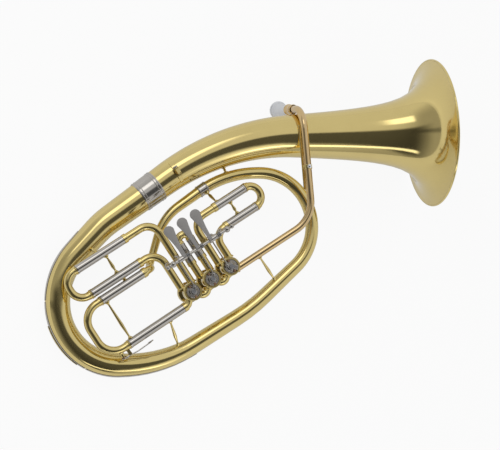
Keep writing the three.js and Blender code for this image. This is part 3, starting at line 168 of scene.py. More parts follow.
class StudioSettings(bpy.types.PropertyGroup):
    """Floor, light and camera."""

    floor: colour("Floor", (0.56, 0.56, 0.56), "Pale floor")
    sky: colour("Light", (1.0, 1.0, 1.0), "Colour of the soft light")
    key_energy: FloatProperty(
        name="Soft lamp", description="Power of the soft lamp", default=8.0, unit="POWER"
    )
    distance: length("Camera distance", 2.0, "From the camera to the body's plane")
    lens: FloatProperty(
        name="Lens", description="Focal length in millimetres", default=106.67, subtype="DISTANCE_CAMERA"
    )
    tube_sides: count("Tube sides", 40, "Facets round a tube")
    bell_sides: count("Bell sides", 128, "Facets round the bell")
    round_sides: count("Round sides", 48, "Facets round a turned piece")
    bend_step: angle("Bend step", 0.07, "Angle between two rings of a bend")


# Places


def joint_named(name):
    """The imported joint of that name."""
    return next(j for j in frame["joints"] if j["name"] == name)


def horn_matrix():
    """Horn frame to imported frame: x along the bell, y up to the bell, z up to the levers."""
    z = Vector(joint_named("rotor_2_turn")["axis"]).normalized()
    row_x = -Vector(joint_named("lever_2_press")["axis"]).normalized()
    x = Matrix.Rotation(-ROW_ANGLE, 3, z) @ row_x
    y = z.cross(x)
    turn = Matrix((x, y, z)).transposed()
    corner = Vector(joint_named("rotor_2_turn")["pos_m"]) - turn @ Vector((*ROW_CENTRE, VALVE_PLANE))
    return Matrix.Translation(corner) @ turn.to_4x4()


HORN = horn_matrix()
ROW = HORN @ Matrix.Translation((*ROW_CENTRE, 0)) @ Matrix.Rotation(ROW_ANGLE, 4, "Z")
TO_ROW = HORN.inverted() @ ROW
UP = Vector((0, 0, 1))
ROD_AXIS = Vector((1, 0, 0))
ROW_DOWN = Matrix.Rotation(ROW_ANGLE, 3, "Z") @ Vector((0, -1, 0))


def body():
    """The body's sizes."""
    return bpy.context.scene.horn_body


def valve():
    """The valves' sizes."""
    return bpy.context.scene.horn_valves


def tubes():
    """The tubing's sizes."""
    return bpy.context.scene.horn_tubes


def finish():
    """The metals' settings."""
    return bpy.context.scene.horn_finish


def studio():
    """The studio's settings."""
    return bpy.context.scene.horn_studio


def row_spot(x, y, z):
    """A place of the valve row's frame, told in the horn's frame."""
    turned = Matrix.Rotation(ROW_ANGLE, 3, "Z") @ Vector((x, y, z))
    return turned + Vector((*ROW_CENTRE, 0))


def leg(x, y):
    """A place of the valve row's frame at the slides' height."""
    return row_spot(x, y, valve().plane)


def leg_route(*corners):
    """A route at the slides' height: corners are (x, y) or (x, y, bend) in the row's frame."""
    return Route(*((leg(x, y), *bend) for x, y, *bend in corners))


def valve_spots():
    """Number, place along the row and crank side of each valve."""
    return ((1, valve().pitch, -1), (2, 0, 1), (3, -valve().pitch, 1))


def port_start():
    """From the row to where a port's tube leaves the casing's wall."""
    return math.sqrt(valve().casing_radius ** 2 - valve().port_offset ** 2) - 0.001


# Routes and meshes


class Route:
    """Straight runs joined by round bends: corners are (place, bend radius)."""

    def __init__(self, *corners):
        self.parts = []
        self.length = 0.0
        spots = [Vector(corner[0]) for corner in corners]
        reaches = self.reaches(spots, [corner[1] if len(corner) > 1 else 0 for corner in corners])
        start = spots[0]
        for i in range(1, len(corners)):
            spot, reach = spots[i], reaches[i]
            if not reach:
                self.add_run(start, spot)
                start = spot
                continue
            back = (start - spot).normalized()
            onward = (spots[i + 1] - spot).normalized()
            turn = math.pi - back.angle(onward)
            bend = reach / math.tan(turn / 2)
            self.add_run(start, spot + back * reach)
            centre = spot + (back + onward).normalized() * (bend / math.cos(turn / 2))
            self.add_bend(spot + back * reach, centre, -back, bend, turn)
            start = spot + onward * reach

    def reaches(self, spots, bends):
        """How far each bend reaches; bends that would meet give way in proportion."""
        wanted = [0.0] * len(spots)
        for i, bend in enumerate(bends):
            if bend:
                turn = math.pi - (spots[i - 1] - spots[i]).angle(spots[i + 1] - spots[i])
                wanted[i] = bend * math.tan(turn / 2)
        easing = [1.0]
        for i in range(1, len(spots)):
            both = wanted[i - 1] + wanted[i]
            easing.append(min(1.0, 0.999 * (spots[i] - spots[i - 1]).length / both) if both else 1.0)
        easing.append(1.0)
        return [reach * min(easing[i], easing[i + 1]) for i, reach in enumerate(wanted)]

    def add_run(self, start, end):
        """A straight run."""
        way = end - start
        if way.length < 1e-7:
            return
        heading = way.normalized()
        self.parts.append((self.length, way.length, 1, lambda s: (start + heading * s, heading)))
        self.length += way.length

    def add_bend(self, start, centre, heading, bend, turn):
        """A round bend."""
        out = start - centre

        def at(s):
            a = s / bend
            spot = centre + out * math.cos(a) + heading * (bend * math.sin(a))
            return spot, (heading * math.cos(a) - out * (math.sin(a) / bend)).normalized()

        steps = math.ceil(turn / studio().bend_step)
        self.parts.append((self.length, bend * turn, steps, at))
        self.length += bend * turn

    def at(self, s):
        """Place and heading at a distance along the route."""
        for start, reach, _, place in self.parts:
            if s <= start + reach + 1e-9:
                return place(s - start)
        return self.parts[-1][3](s - self.parts[-1][0])

    def stops(self, start, end):
        """The places of all rings between two distances."""
        found = [start, end]
        for first, reach, steps, _ in self.parts:
            found += [first + reach * i / steps for i in range(steps + 1)]
        return [s for s in found if start <= s <= end]

    def nearest(self, target, start, end):
        """The distance along the route that lies nearest to a place."""
        places = np.linspace(start, end, 600)
        return min(places, key=lambda s: (self.at(s)[0] - target).length)


def spaced(places, least=2e-5):
    """Sorted distances with near-doubles left out."""
    kept = []
    for s in sorted(places):
        if not kept or s - kept[-1] > least:
            kept.append(s)
    return kept


def rings(route, places, side=UP):
    """Place and the two directions of the cross-section at each distance."""
    found = []
    for s in places:
        spot, heading = route.at(s)
        side = (side - heading * side.dot(heading)).normalized()
        found.append((s, spot, side, heading.cross(side)))
    return found


def arc(first, last, steps):
    """Cosine and sine at even steps from one angle to another."""
    turns = [first + (last - first) * i / steps for i in range(steps + 1)]
    return [(math.cos(a), math.sin(a)) for a in turns]


def spoke(spot, side, across, radius, turn):
    """The point at a radius and a turn round a spot."""
    return spot + side * (radius * turn[0]) + across * (radius * turn[1])


def circle(spot, side, across, radius, sides):
    """A ring of points."""
    return [spoke(spot, side, across, radius, turn) for turn in arc(0, 2 * math.pi, sides)[:-1]]


def between(table, s, column):
    """Straight lines between the rows of a table."""
    return float(np.interp(s, [line[0] for line in table], [line[column] for line in table]))


def add_piece(name, shape, kind, node=None, body_name=ROOT, sharp=0.6):
    """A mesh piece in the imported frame, smooth but for its sharp edges, that rides on a body.

    It has a finish of that kind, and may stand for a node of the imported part.
    """
    points, faces = shape
    mesh = bpy.data.meshes.new(name)
    mesh.from_pydata([HORN @ Vector(p) for p in points], [], faces)
    mesh.validate()
    mesh.shade_smooth()
    mesh.set_sharp_from_angle(angle=sharp)
    mesh.materials.append(metal(kind))
    piece = bpy.data.objects.new(name, mesh)
    bpy.context.scene.collection.objects.link(piece)
    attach(piece, body_name)
    if node:
        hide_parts(node)


def mm(rows, radius=0.0, foot=0.0):
    """Rows of (rise over a radius, distance past a foot), told in millimetres, in metres."""
    return [(radius + rise * 0.001, foot + place * 0.001) for rise, place in rows]


def disc(bore, radius, low, high, inset, drop):
    """Rows of a disc with a softened upper edge, or of a ring where it has a bore."""
    rows = [(bore, low), (radius, low), (radius, high - drop), (radius - inset, high), (bore, high)]
    return [*rows, rows[0]] if bore else rows


def skin(loops, closed_round=False):
    """Faces over a row of equal loops, capped where it isn't closed."""
    n, rows = len(loops[0]), len(loops)
    faces = []
    for j in range(rows if closed_round else rows - 1):
        a, b = j * n, ((j + 1) % rows) * n
        faces += [(a + i, a + (i + 1) % n, b + (i + 1) % n, b + i) for i in range(n)]
    if not closed_round:
        faces.append(tuple(range(n - 1, -1, -1)))
        faces.append(tuple((rows - 1) * n + i for i in range(n)))
    return [p for loop in loops for p in loop], faces


def join(*shapes):
    """Several lists of points and faces as one."""
    points, faces = [], []
    for p, f in shapes:
        base = len(points)
        points += p
        faces += [tuple(i + base for i in face) for face in f]
    return points, faces


def tube(route, profile, sides=None):
    """A hollow tube along a route; the profile lists (distance, outer radius, bore radius)."""
    sides = sides or studio().tube_sides
    start, end = profile[0][0], profile[-1][0]
    places = spaced(route.stops(start, end) + [line[0] for line in profile])
    stations = rings(route, places)
    outer = [circle(p, a, b, between(profile, s, 1), sides) for s, p, a, b in stations]
    inner = [circle(p, a, b, between(profile, s, 2), sides) for s, p, a, b in stations]
    return skin(outer + inner[::-1], closed_round=True)


def turned(profile, foot, axis, sides=None):
    """A turned solid: (radius, distance) from its foot along its axis."""
    sides = sides or studio().round_sides
    axis = Vector(axis).normalized()
    side = axis.orthogonal().normalized()
    across = axis.cross(side)
    closed = profile[0] == profile[-1]
    rows = profile[:-1] if closed else profile
    loops = [circle(Vector(foot) + axis * h, side, across, max(r, 1e-5), sides) for r, h in rows]
    return skin(loops, closed_round=closed)


def rod(start, end, radius, sides):
    """A plain rod with softened ends."""
    start, end = Vector(start), Vector(end)
    reach = (end - start).length
    soft = min(0.2 * radius, reach / 4)
    profile = [(radius - soft, 0), (radius, soft), (radius, reach - soft), (radius - soft, reach)]
    return turned(profile, start, end - start, sides)


def block(low, high, soft=0.0002):
    """A block with softened edges."""
    low, high = Vector(low), Vector(high)
    (lx, ly, _), (hx, hy, _) = low, high
    loops = []
    for z, inset in ((low.z, soft), (low.z + soft, 0), (high.z - soft, 0), (high.z, soft)):
        corners = []
        for cx, cy, sx, sy in ((lx, ly, 1, 1), (hx, ly, -1, 1), (hx, hy, -1, -1), (lx, hy, 1, -1)):
            first = Vector((cx + sx * (inset + soft), cy + sy * inset, z))
            last = Vector((cx + sx * inset, cy + sy * (inset + soft), z))
            corners += [last, first] if sx == sy else [first, last]
        loops.append(corners)
    return skin(loops)


def moved(shape, matrix):
    """A shape after a matrix."""
    points, faces = shape
    return [matrix @ Vector(p) for p in points], faces


def ball(centre, radius):
    """A turned ball."""
    return turned([(radius * s, -radius * c) for c, s in arc(0, math.pi, 12)], centre, UP, 32)


# Materials


def maths(operation, reflected=False):
    """A method that adds a Math node; reflected, the plain number comes first."""

    def method(self, other):
        a, b = (other, self) if reflected else (self, other)
        return self.shader.node("ShaderNodeMath", {"operation": operation}, {0: a, 1: b})

    return method


class Value:
    """A number socket that takes part in Python sums."""

    def __init__(self, shader, socket):
        self.shader = shader
        self.socket = socket

    __add__, __radd__ = maths("ADD"), maths("ADD", True)
    __sub__, __rsub__ = maths("SUBTRACT"), maths("SUBTRACT", True)
    __mul__, __rmul__ = maths("MULTIPLY"), maths("MULTIPLY", True)
    __truediv__, __rtruediv__ = maths("DIVIDE"), maths("DIVIDE", True)


class Shader:
    """The nodes of one material or world."""

    def __init__(self, tree):
        self.tree = tree
        tree.nodes.clear()

    def node(self, kind, settings=None, inputs=None, output=0):
        """A node with its settings and inputs; gives back one of its outputs."""
        made = self.tree.nodes.new(kind)
        for name, value in (settings or {}).items():
            setattr(made, name, value)
        for name, value in (inputs or {}).items():
            socket = made.inputs[name]
            if isinstance(value, Value):
                self.tree.links.new(value.socket, socket)
            else:
                socket.default_value = value
        return Value(self, made.outputs[output]) if made.outputs else made

    def mix_colour(self, factor, a, b):
        """One colour into another."""
        settings = {"data_type": "RGBA", "clamp_factor": True}
        return self.node("ShaderNodeMix", settings, {0: factor, 6: (*a, 1.0), 7: (*b, 1.0)}, output=2)

    def place(self):
        """The place in the piece's own frame."""
        return self.node("ShaderNodeTexCoord", output=3)

    def scaled(self, vector, scale):
        """A vector stretched along each axis."""
        return self.node("ShaderNodeVectorMath", {"operation": "MULTIPLY"}, {0: vector, 1: scale})

    def dot(self, vector, direction):
        """How far a vector points along a direction."""
        settings = {"operation": "DOT_PRODUCT"}
        return self.node("ShaderNodeVectorMath", settings, {0: vector, 1: direction}, output=1)

    def noise(self, vector, scale, detail=3.0, roughness=0.5):
        """Soft noise from 0 to 1."""
        inputs = {"Vector": vector, "Scale": scale, "Detail": detail, "Roughness": roughness}
        return self.node("ShaderNodeTexNoise", None, inputs)

    def ramp(self, value, low, high, to_low=0.0, to_high=1.0):
        """A smooth step between two values."""
        inputs = {"Value": value, "From Min": low, "From Max": high, "To Min": to_low, "To Max": to_high}
        return self.node("ShaderNodeMapRange", {"interpolation_type": "SMOOTHSTEP"}, inputs)

    def band(self, value, low, high, soft):
        """1 inside a band, with soft edges."""
        rising = self.ramp(value, low - soft, low + soft)
        return rising * self.ramp(value, high - soft, high + soft, 1.0, 0.0)


# Each finish: material, share of its colour in darker patches, roughness, what isn't as in plain metal
FINISHES = {
    "lacquer": ("lacquered_brass", None, None, {"coat": 0.35, "depth": 4e-6}),
    "rose": ("rose_brass", 0.72, None, {"coat": 0.35, "depth": 4e-6}),
    "nickel": ("nickel_silver", 0.7, 0.13, {"grain": (1, 6, 1), "depth": 5e-6}),
    "matte": ("satin_plate", 0.86, 0.55, {"grain": (1, 9, 1), "depth": 1.2e-5, "metallic": 0.45}),
    "silver": ("silver_plate", 0.8, 0.09, {"depth": 2e-6}),
    "steel": ("spring_steel", 0.6, 0.25, {"depth": 4e-6}),
    "cork": ("cork", 0.5, 0.8, {"depth": 8e-5, "metallic": 0.0, "cloud": 0.8}),
}
PLAIN_METAL = {"coat": 0.0, "grain": (1, 1, 1), "metallic": 1.0, "cloud": 0.35}
CLOUD_SCALE = 22.0
SPOT_SCALE = 900.0
SMEAR_SCALE = 260.0
CLOUD_DEPTH = 0.00004
made_materials = {}


def metal(kind):
    """A finish with cloudy tone, fine polishing marks and small handling marks, made once."""
    if kind in made_materials:
        return made_materials[kind]
    name, darker, roughness, changes = FINISHES[kind]
    look = {**PLAIN_METAL, **changes}
    base = tuple(getattr(finish(), kind))
    deep = tuple(finish().lacquer_deep) if darker is None else tuple(c * darker for c in base)
    material = bpy.data.materials.new(name)
    material.use_nodes = True
    sh = Shader(material.node_tree)
    where = sh.place()
    clouds = sh.noise(where, CLOUD_SCALE, 4.0, 0.6)
    spots = sh.ramp(sh.noise(where, SPOT_SCALE, 2.0), 0.70, 0.80)
    smears = sh.noise(sh.scaled(where, look["grain"]), SMEAR_SCALE, 3.0, 0.6)
    tone = sh.ramp(clouds, 0.35, 0.85) * look["cloud"] + spots * 0.25
    rough = (roughness or finish().polish) * (0.75 + smears * 0.5) + spots * 0.10
    height = smears * look["depth"] + clouds * CLOUD_DEPTH
    inputs = {
        "Base Color": sh.mix_colour(tone, base, deep),
        "Metallic": look["metallic"],
        "Roughness": rough + sh.ramp(clouds, 0.5, 0.8) * 0.04,
        "Normal": sh.node("ShaderNodeBump", None, {"Strength": 1.0, "Distance": 1.0, "Height": height}),
        "Coat Weight": look["coat"],
        "Coat Roughness": 0.04,
    }
    shader = sh.node("ShaderNodeBsdfPrincipled", None, inputs)
    sh.node("ShaderNodeOutputMaterial", None, {"Surface": shader})
    made_materials[kind] = material
    return material


# The body's route and taper

SIDE_BOW_SHARE = 0.66
LEFT_ROOM = ROW_CENTRE[0] / math.cos(ROW_ANGLE)
RIGHT_ROOM = (SIDE_BOW_SHARE * BODY_LENGTH - ROW_CENTRE[0]) / math.cos(ROW_ANGLE)
INSERT_SHARE = 0.7


def slide_in(room, start, reach, bend, bare, **sizes):
    """A slide's sizes: start and reach are shares of the room beside the row's middle."""
    start, reach = start * room, reach * room
    end = reach - bend - bare
    run = end - start
    insert = INSERT_SHARE * run
    return dict(sizes, start=start, reach=reach, bend=bend, end=end, run=run, insert=insert)


MAIN = slide_in(LEFT_ROOM, 0.295, 0.741, 0.025, 0.008, low=-0.0125, high=0.0545)
THIRD = slide_in(LEFT_ROOM, 0.3, 0.714, 0.017, 0.004, near=0.0685, far=0.1055, turn=0.020)
FIRST = slide_in(RIGHT_ROOM, 0.338, 0.679, 0.0144, 0.0005, near=0.047, far=0.076, turn=0.018)
SECOND = slide_in(1.0, 0.033, 0.069, 0.0078, 0.0022)
ELBOW_BEND = 0.007
TAIL_BEND = 0.011
TAIL_SHARES = (0.27, 0.65, 0.249)
LOOP_SHARES = ((0.437, 0.458, 0.468), (0.647, 0.493, 0.238))
BOW_SHARES = (
    (SIDE_BOW_SHARE, 0.487, 0.249),
    (0.484, 0.226, 0.831),
    (0.242, -0.005, 0.605),
    (-0.01, 0.034, 0.274),
    (0.001, 0.424, 0.303),
    (0.118, 0.63, 0.395),
    (0.436, 1.003, 1.107),
)
PLACE_SHARES = {
    "tail": 0.037,
    "loop": 0.112,
    "side": 0.25,
    "branch": 0.42,
    "joint": 0.425,
    "lower": 0.49,
    "left": 0.59,
    "bell": 0.709,
}


def body_route():
    """The centreline from the main slide to the bell's mouth."""
    b = body()
    plane = valve().plane
    corner = (-MAIN["start"] + TAIL_BEND, MAIN["high"])
    corners = [
        (row_spot(-MAIN["start"], MAIN["high"], plane),),
        (row_spot(*corner, plane), TAIL_BEND),
        (row_spot(*corner, 0), TAIL_BEND),
    ]
    hung = [(x, 1 - drop * b.bell_radius / b.body_height, bend) for x, drop, bend in LOOP_SHARES]
    for x, y, bend in (TAIL_SHARES, *hung, *BOW_SHARES):
        corners.append(((x * b.body_length, y * b.body_height, 0), bend * b.body_height))
    corners.append(((b.body_length, b.body_height, 0),))
    return Route(*corners)


def body_places(route):
    """Distances of the body's joints along its route."""
    return {name: part * route.length for name, part in PLACE_SHARES.items()}


def body_taper(route):
    """Outer radius along the body up to the bell."""
    b, at = body(), body_places(route)
    tube_radius = tubes().bore + tubes().tube_wall
    return [
        (0, tube_radius),
        (at["tail"], tube_radius),
        (at["loop"], b.loop_radius),
        (at["side"], b.side_bow_radius),
        (at["branch"], b.lower_branch_radius),
        (at["lower"], b.lower_bow_radius),
        (at["left"], b.left_bow_radius),
        (at["bell"], bell_radius_at(route, at["bell"])),
    ]


def bell_radius_at(route, s):
    """Outer radius of the bell: a cone, and on top of it the flare."""
    b = body()
    depth = route.length - s
    part = depth / (route.length * (1 - PLACE_SHARES["bell"]))
    flare = (b.flare_depth / (depth + b.flare_depth)) ** b.flare_power
    return b.cone_end + (b.cone_start - b.cone_end) * part + (b.bell_radius - b.cone_end) * flare


def outer_radius_at(route, s):
    """Outer radius anywhere along the body."""
    if s > body_places(route)["bell"]:
        return bell_radius_at(route, s)
    return between(body_taper(route), s, 1)


def body_profile(route, start, end):
    """Rows of a body section."""
    table = body_taper(route)
    rows = [start, *(line[0] for line in table if start < line[0] < end), end]
    return [(s, between(table, s, 1), between(table, s, 1) - body().wall) for s in rows]


def stay(start, start_radius, end, end_radius, radius=0.0017, foot=0.0032):
    """A turned stay between two tubes: round feet, narrow necks and a swelling between them."""
    way = (end - start).normalized()
    reach = (end - start).length - start_radius - end_radius
    pad = min(0.0014, reach / 8)
    neck = 0.72 * radius
    near = [(foot, pad * 0.5), (neck * 1.5, pad * 1.3), (neck, pad * 2.6)]
    far = [(r, reach - s) for r, s in near[::-1]]
    profile = [(foot, -0.0006), *near, (1.35 * radius, reach * 0.62), *far, (foot, reach + 0.0004)]
    return turned(profile, start + way * start_radius, way, 24)


def stay_to_body(route, spot, radius, start, end, rise=0.0):
    """A stay from a tube to the body where it is nearest between two distances."""
    foot = route.nearest(spot, start, end)
    return stay(spot, radius, route.at(foot)[0], outer_radius_at(route, foot) + rise)


# Pieces

LOOP_STAY_SHARE = 0.139
LOOP_FERRULE_LENGTH = 0.014
GUARDS = (
    ("lower_guard", 0.415, 0.5114),
    ("bow_bumper", 0.5126, 0.5734),
    ("upper_guard", 0.5746, 0.637),
)
RAISED_BUMPER = (0.519, 0.555)
SEAT = 0.0001
BELL_RINGS = 60
RING_CROWDING = 2.2
BEAD_HALF = 0.0007
BEAD_RISE = 0.0005
GUARD_TIP = 0.35
GUARD_SLOPE = 14


class HORN_OT_body(bpy.types.Operator):
    """Builds the loop, the branches, the bows and the bell"""

    bl_idname = "horn.body"
    bl_label = "Body and bell"

    def execute(self, context):
        route = body_route()
        at = body_places(route)
        sections = (
            ("loop_tail", 0, at["loop"], 0),
            ("lower_branch", at["loop"], at["joint"], 8),
            ("left_bow", at["joint"], at["bell"], 24),
        )
        for node, start, end, more_sides in sections:
            shapes = [tube(route, body_profile(route, start, end), studio().tube_sides + more_sides)]
            if node == "lower_branch":
                place = LOOP_STAY_SHARE * route.length
                spot, radius = route.at(place)[0], outer_radius_at(route, place)
                shapes.append(stay_to_body(route, spot, radius, at["bell"], route.length))
            add_piece(node + "_tube", join(*shapes), "lacquer", node)
        self.bell(route, at["bell"])
        return {"FINISHED"}

    def bell(self, route, foot):
        """The flare with its rolled rim."""
        b = body()
        mouth, bead = route.length, b.rim_bead
        reach, last = mouth - foot, mouth - 2 * bead
        shares = [0.985 * (1 - (i / BELL_RINGS) ** RING_CROWDING) for i in range(BELL_RINGS + 1)]
        stops = [mouth - reach * part for part in shares]
        stops = [foot, *(s for s in stops if foot < s < last), last]
        rows = [(s, bell_radius_at(route, s), bell_radius_at(route, s) - b.wall) for s in stops]
        edge, centre = b.bell_radius - bead, mouth - bead
        for c, s in arc(0, math.pi, 8):
            rows.append((centre - bead * c * 0.98, edge + bead * s, edge - bead * 0.2 * s))
        add_piece("bell_flare", tube(route, rows, studio().bell_sides), "lacquer", "bell", sharp=0.9)


class HORN_OT_trim(bpy.types.Operator):
    """Builds the ferrules, the guards and the bumper"""

    bl_idname = "horn.trim"
    bl_label = "Ferrules and guards"

    def execute(self, context):
        route = body_route()
        at = body_places(route)
        b = body()
        ferrules = (
            ("bell_ferrule", at["bell"], b.ferrule_length, (0.06, 0.17, 0.83, 0.94), 72),
            ("loop_ferrule", at["loop"], LOOP_FERRULE_LENGTH, (0.1, 0.9), 48),
        )
        for node, place, reach, beads, sides in ferrules:
            shape = tube(route, self.ferrule(route, place, reach, beads), sides)
            add_piece(node + "_ring", shape, "nickel", node)
        for node, start, end in GUARDS:
            shape = self.strip(route, start, end, b.guard_half_angle, b.guard_thickness)
            add_piece(node + "_strip", shape, "nickel", node)
        raised = self.strip(route, *RAISED_BUMPER, 0.75 * b.guard_half_angle, b.bumper_thickness)
        add_piece("bow_bumper_raised", raised, "lacquer")
        return {"FINISHED"}

    def ferrule(self, route, place, reach, beads):
        """Rows of a ferrule with turned beads, close round the tapering tube."""
        wall = body().ferrule_wall
        start, end = place - reach / 2, place + reach / 2
        rows = [(start, wall * 0.6), (start + 0.0004, wall), (end - 0.0004, wall), (end, wall * 0.6)]
        for bead in beads:
            middle = start + bead * reach
            rows += [(middle - BEAD_HALF * c, wall + BEAD_RISE * s) for c, s in arc(0, math.pi, 6)]
        seats = [(s, rise, outer_radius_at(route, s) + SEAT) for s, rise in sorted(rows)]
        return [(s, seat + rise, seat) for s, rise, seat in seats]

    def strip(self, route, start_share, end_share, half_angle, thickness):
        """A plate bent round the outer side of the bows, with rounded edges."""
        steps = 16
        start, end = start_share * route.length, end_share * route.length
        loops = []
        for s, *ring in rings(route, spaced(route.stops(start, end)), UP.cross(route.at(start)[1])):
            inner = outer_radius_at(route, s) + SEAT
            outer = inner + thickness
            edge = outer - 0.4 * thickness
            spread = half_angle * min(1.0, GUARD_TIP + GUARD_SLOPE * min(s - start, end - s)) ** 0.5
            turns = arc(-spread, spread, steps)
            lifts = [edge, *[outer] * (steps - 1), edge]
            loop = [spoke(*ring, lift, turn) for lift, turn in zip(lifts, turns)]
            loops.append(loop + [spoke(*ring, inner, turn) for turn in turns[::-1]])
        return skin(loops)


# Rings on the slide tubes: rows of distance, outer radius and bore radius
PORT_RING = ((0.0, 0.0064, 0.0048), (0.0012, 0.0066, 0.0048), (0.0030, 0.0054, 0.0048))
MAIN_COLLAR = ((-0.002, 0.0061, 0.0047), (0.0, 0.0067, 0.0047), (0.004, 0.0067, 0.0061))
CROSS_STAY_SHARE = 0.42
MAIN_STAY_SHARE = 0.37
BODY_STAY_SHARE = 0.51
STAY_INSET = 0.005
NIPPLE_REACH = 0.0045
KEY_HALF = 0.0014
EAR_HALF = 0.0005
PIN_SETBACK = 0.006
TOUCH_REACH = 0.031
TOUCH_DROP = 0.0082


class HORN_OT_slides(bpy.types.Operator):
    """Builds the slides' sleeves, bows and stays"""

    bl_idname = "horn.slides"
    bl_label = "Slides"

    def execute(self, context):
        t = tubes()
        self.radius = t.bore + t.tube_wall
        self.sleeve = self.radius + t.clearance + t.tube_wall
        self.valve_slide("third", THIRD, -1)
        self.valve_slide("first", FIRST, 1)
        self.second_slide()
        self.main_slide()
        self.links()
        return {"FINISHED"}

    def sleeve_on(self, route, start):
        """A nickel sleeve up to the route's end, with a rolled lip there."""
        inner = self.radius + tubes().clearance / 2
        lips = mm([(-0.3, 0), (0, 0.3)], self.sleeve, start)
        lips += mm([(0, -2.2), (0.3, -2.0), (0.4, -0.6), (0.1, 0)], self.sleeve, route.length)
        return tube(route, [(s, outer, inner) for outer, s in lips])

    def sleeved(self, name, node, route, run, *brass):
        """A tube as two pieces: its nickel sleeve, and the brass with a short collar up to it."""
        step = route.length - run
        collar = mm([(0, -5.2), (0.8, -5.0), (1.1, -4.6), (1.1, 0)], self.radius, step)
        elbow = tube(route, [(s, outer, tubes().bore) for outer, s in [(self.radius, 0), *collar]])
        add_piece(name + "_sleeve", self.sleeve_on(route, step), "nickel", node)
        add_piece(name + "_elbow", join(elbow, *brass), "lacquer", node)

    def cross_stay(self, x, high, low, *sizes):
        """A stay between two sleeves."""
        return stay(leg(x, high), self.sleeve, leg(x, low), self.sleeve, *sizes)

    def valve_slide(self, name, slide, side):
        """Two sleeved tubes, a bow and a stay."""
        v = valve()
        near, far, run = slide["near"], slide["far"], slide["run"]
        for label, y, offset in (("upper", far, -v.port_offset), ("lower", near, v.port_offset)):
            x = side * (v.pitch + offset)
            route = leg_route((x, port_start()), (x, y, slide["turn"]), (side * slide["end"], y))
            brass = [tube(route, PORT_RING)]
            if label == "upper":
                brass.append(self.cross_stay(side * (slide["start"] + CROSS_STAY_SHARE * run), far, near))
                brass.append(self.outer_stay(name, slide))
            elif name == "third":
                stay_x = -(slide["start"] + MAIN_STAY_SHARE * run)
                brass.append(self.cross_stay(stay_x, near, MAIN["high"], 0.0022, 0.003))
            self.sleeved(f"{name}_{label}", f"{name}_{label}_tube", route, run, *brass)
        shape = self.bow(self.crook(side, slide, near, far), slide["insert"])
        add_piece(f"{name}_bow", shape, "lacquer", f"{name}_crook", f"{name}_slide")

    def outer_stay(self, name, slide):
        """The stay from a slide's upper sleeve to the body."""
        route = body_route()
        at = body_places(route)
        if name == "third":
            start = leg(-(slide["start"] + BODY_STAY_SHARE * slide["run"]), slide["far"])
            return stay_to_body(route, start, self.sleeve, at["lower"], at["bell"])
        start = leg(slide["start"] + STAY_INSET, slide["far"])
        half = LOOP_FERRULE_LENGTH / 2
        return stay_to_body(route, start, self.sleeve, at["loop"] - half, at["loop"] + half, 0.0012)

    def crook(self, side, slide, first, second):
        """The route of a slide's bow: out beside one leg and back beside the other."""
        inner, outer, bend = side * (slide["end"] - slide["insert"]), side * slide["reach"], slide["bend"]
        return leg_route((inner, first), (outer, first, bend), (outer, second, bend), (inner, second))

    def bow(self, route, insert):
        """A slide's bow: plain legs that run in the sleeves, a lip ring and the bend."""
        seat = insert + tubes().clearance
        ring = [(0.9, 0.2), (1.3, 0.6), (1.3, 1.2), (0.9, 1.8), (0.5, 2.2), (0.4, 4.6), (0, 5.0)]
        rows = [(0, self.radius), (seat, self.radius)]
        rows += [(s, outer) for outer, s in mm(ring, self.radius, seat)]
        rows += [(route.length - s, outer) for s, outer in rows[::-1]]
        return tube(route, [(s, outer, tubes().bore) for s, outer in rows])

    def second_slide(self):
        """The short slide of the middle valve."""
        port, reach, bend = valve().port_offset, SECOND["reach"], SECOND["bend"]
        for name, x in (("second_left", -port), ("second_right", port)):
            route = leg_route((x, port_start()), (x, SECOND["end"]))
            self.sleeved(name, name + "_tube", route, SECOND["run"])
        foot = SECOND["end"] - SECOND["insert"]
        route = leg_route((-port, foot), (-port, reach, bend), (port, reach, bend), (port, foot))
        shape = self.bow(route, SECOND["insert"])
        add_piece("second_bow", shape, "lacquer", "second_crook", "second_slide")

    def main_slide(self):
        """The main slide's sleeves with their stay, its bow, and the water key."""
        v = valve()
        high, low, end = MAIN["high"], MAIN["low"], -MAIN["end"]
        upper = leg_route((-MAIN["start"], high), (end, high))
        add_piece("main_upper_sleeve", self.sleeve_on(upper, 0.0), "nickel", "main_upper_tube")
        shape = join(tube(upper, MAIN_COLLAR), self.cross_stay(end + STAY_INSET, high, low))
        add_piece("main_sleeve_stay", shape, "lacquer")
        elbow_x = low - v.pitch
        out = (v.casing_radius - 0.001) * math.sqrt(0.5)
        lower = leg_route((-v.pitch - out, -out), (elbow_x, low, ELBOW_BEND), (end, low))
        self.sleeved("main_lower", "main_lower_tube", lower, MAIN["end"] + elbow_x - ELBOW_BEND)

        pin_x, nipple_x = end - PIN_SETBACK, -MAIN["reach"] + 0.7 * MAIN["bend"]
        top = low - self.radius
        pin_y = top - NIPPLE_REACH - KEY_HALF
        rows = mm([(1.4, 0), (3.6, 0), (3.2, 1), (2.6, 2), (2.7, 6.0), (1.4, 6.3), (1.4, 0)])
        shapes = [self.bow(self.crook(-1, MAIN, high, low), MAIN["insert"])]
        shapes.append(turned(rows, leg(nipple_x, top + 0.0018), ROW_DOWN))
        for side in (-1, 1):
            mid = v.plane + side * (KEY_HALF + tubes().clearance + EAR_HALF)
            near = (pin_x - 0.002, pin_y - 0.0018, mid - EAR_HALF)
            far = (pin_x + 0.002, top + 0.0006, mid + EAR_HALF)
            shapes.append(moved(block(near, far), TO_ROW))
        shapes.append(self.upright(pin_x, pin_y, 0.0026, 0.0010, 20))
        add_piece("main_bow", join(*shapes), "lacquer", "main_crook", "main_slide")
        self.water_key(pin_x, pin_y, nipple_x, top)

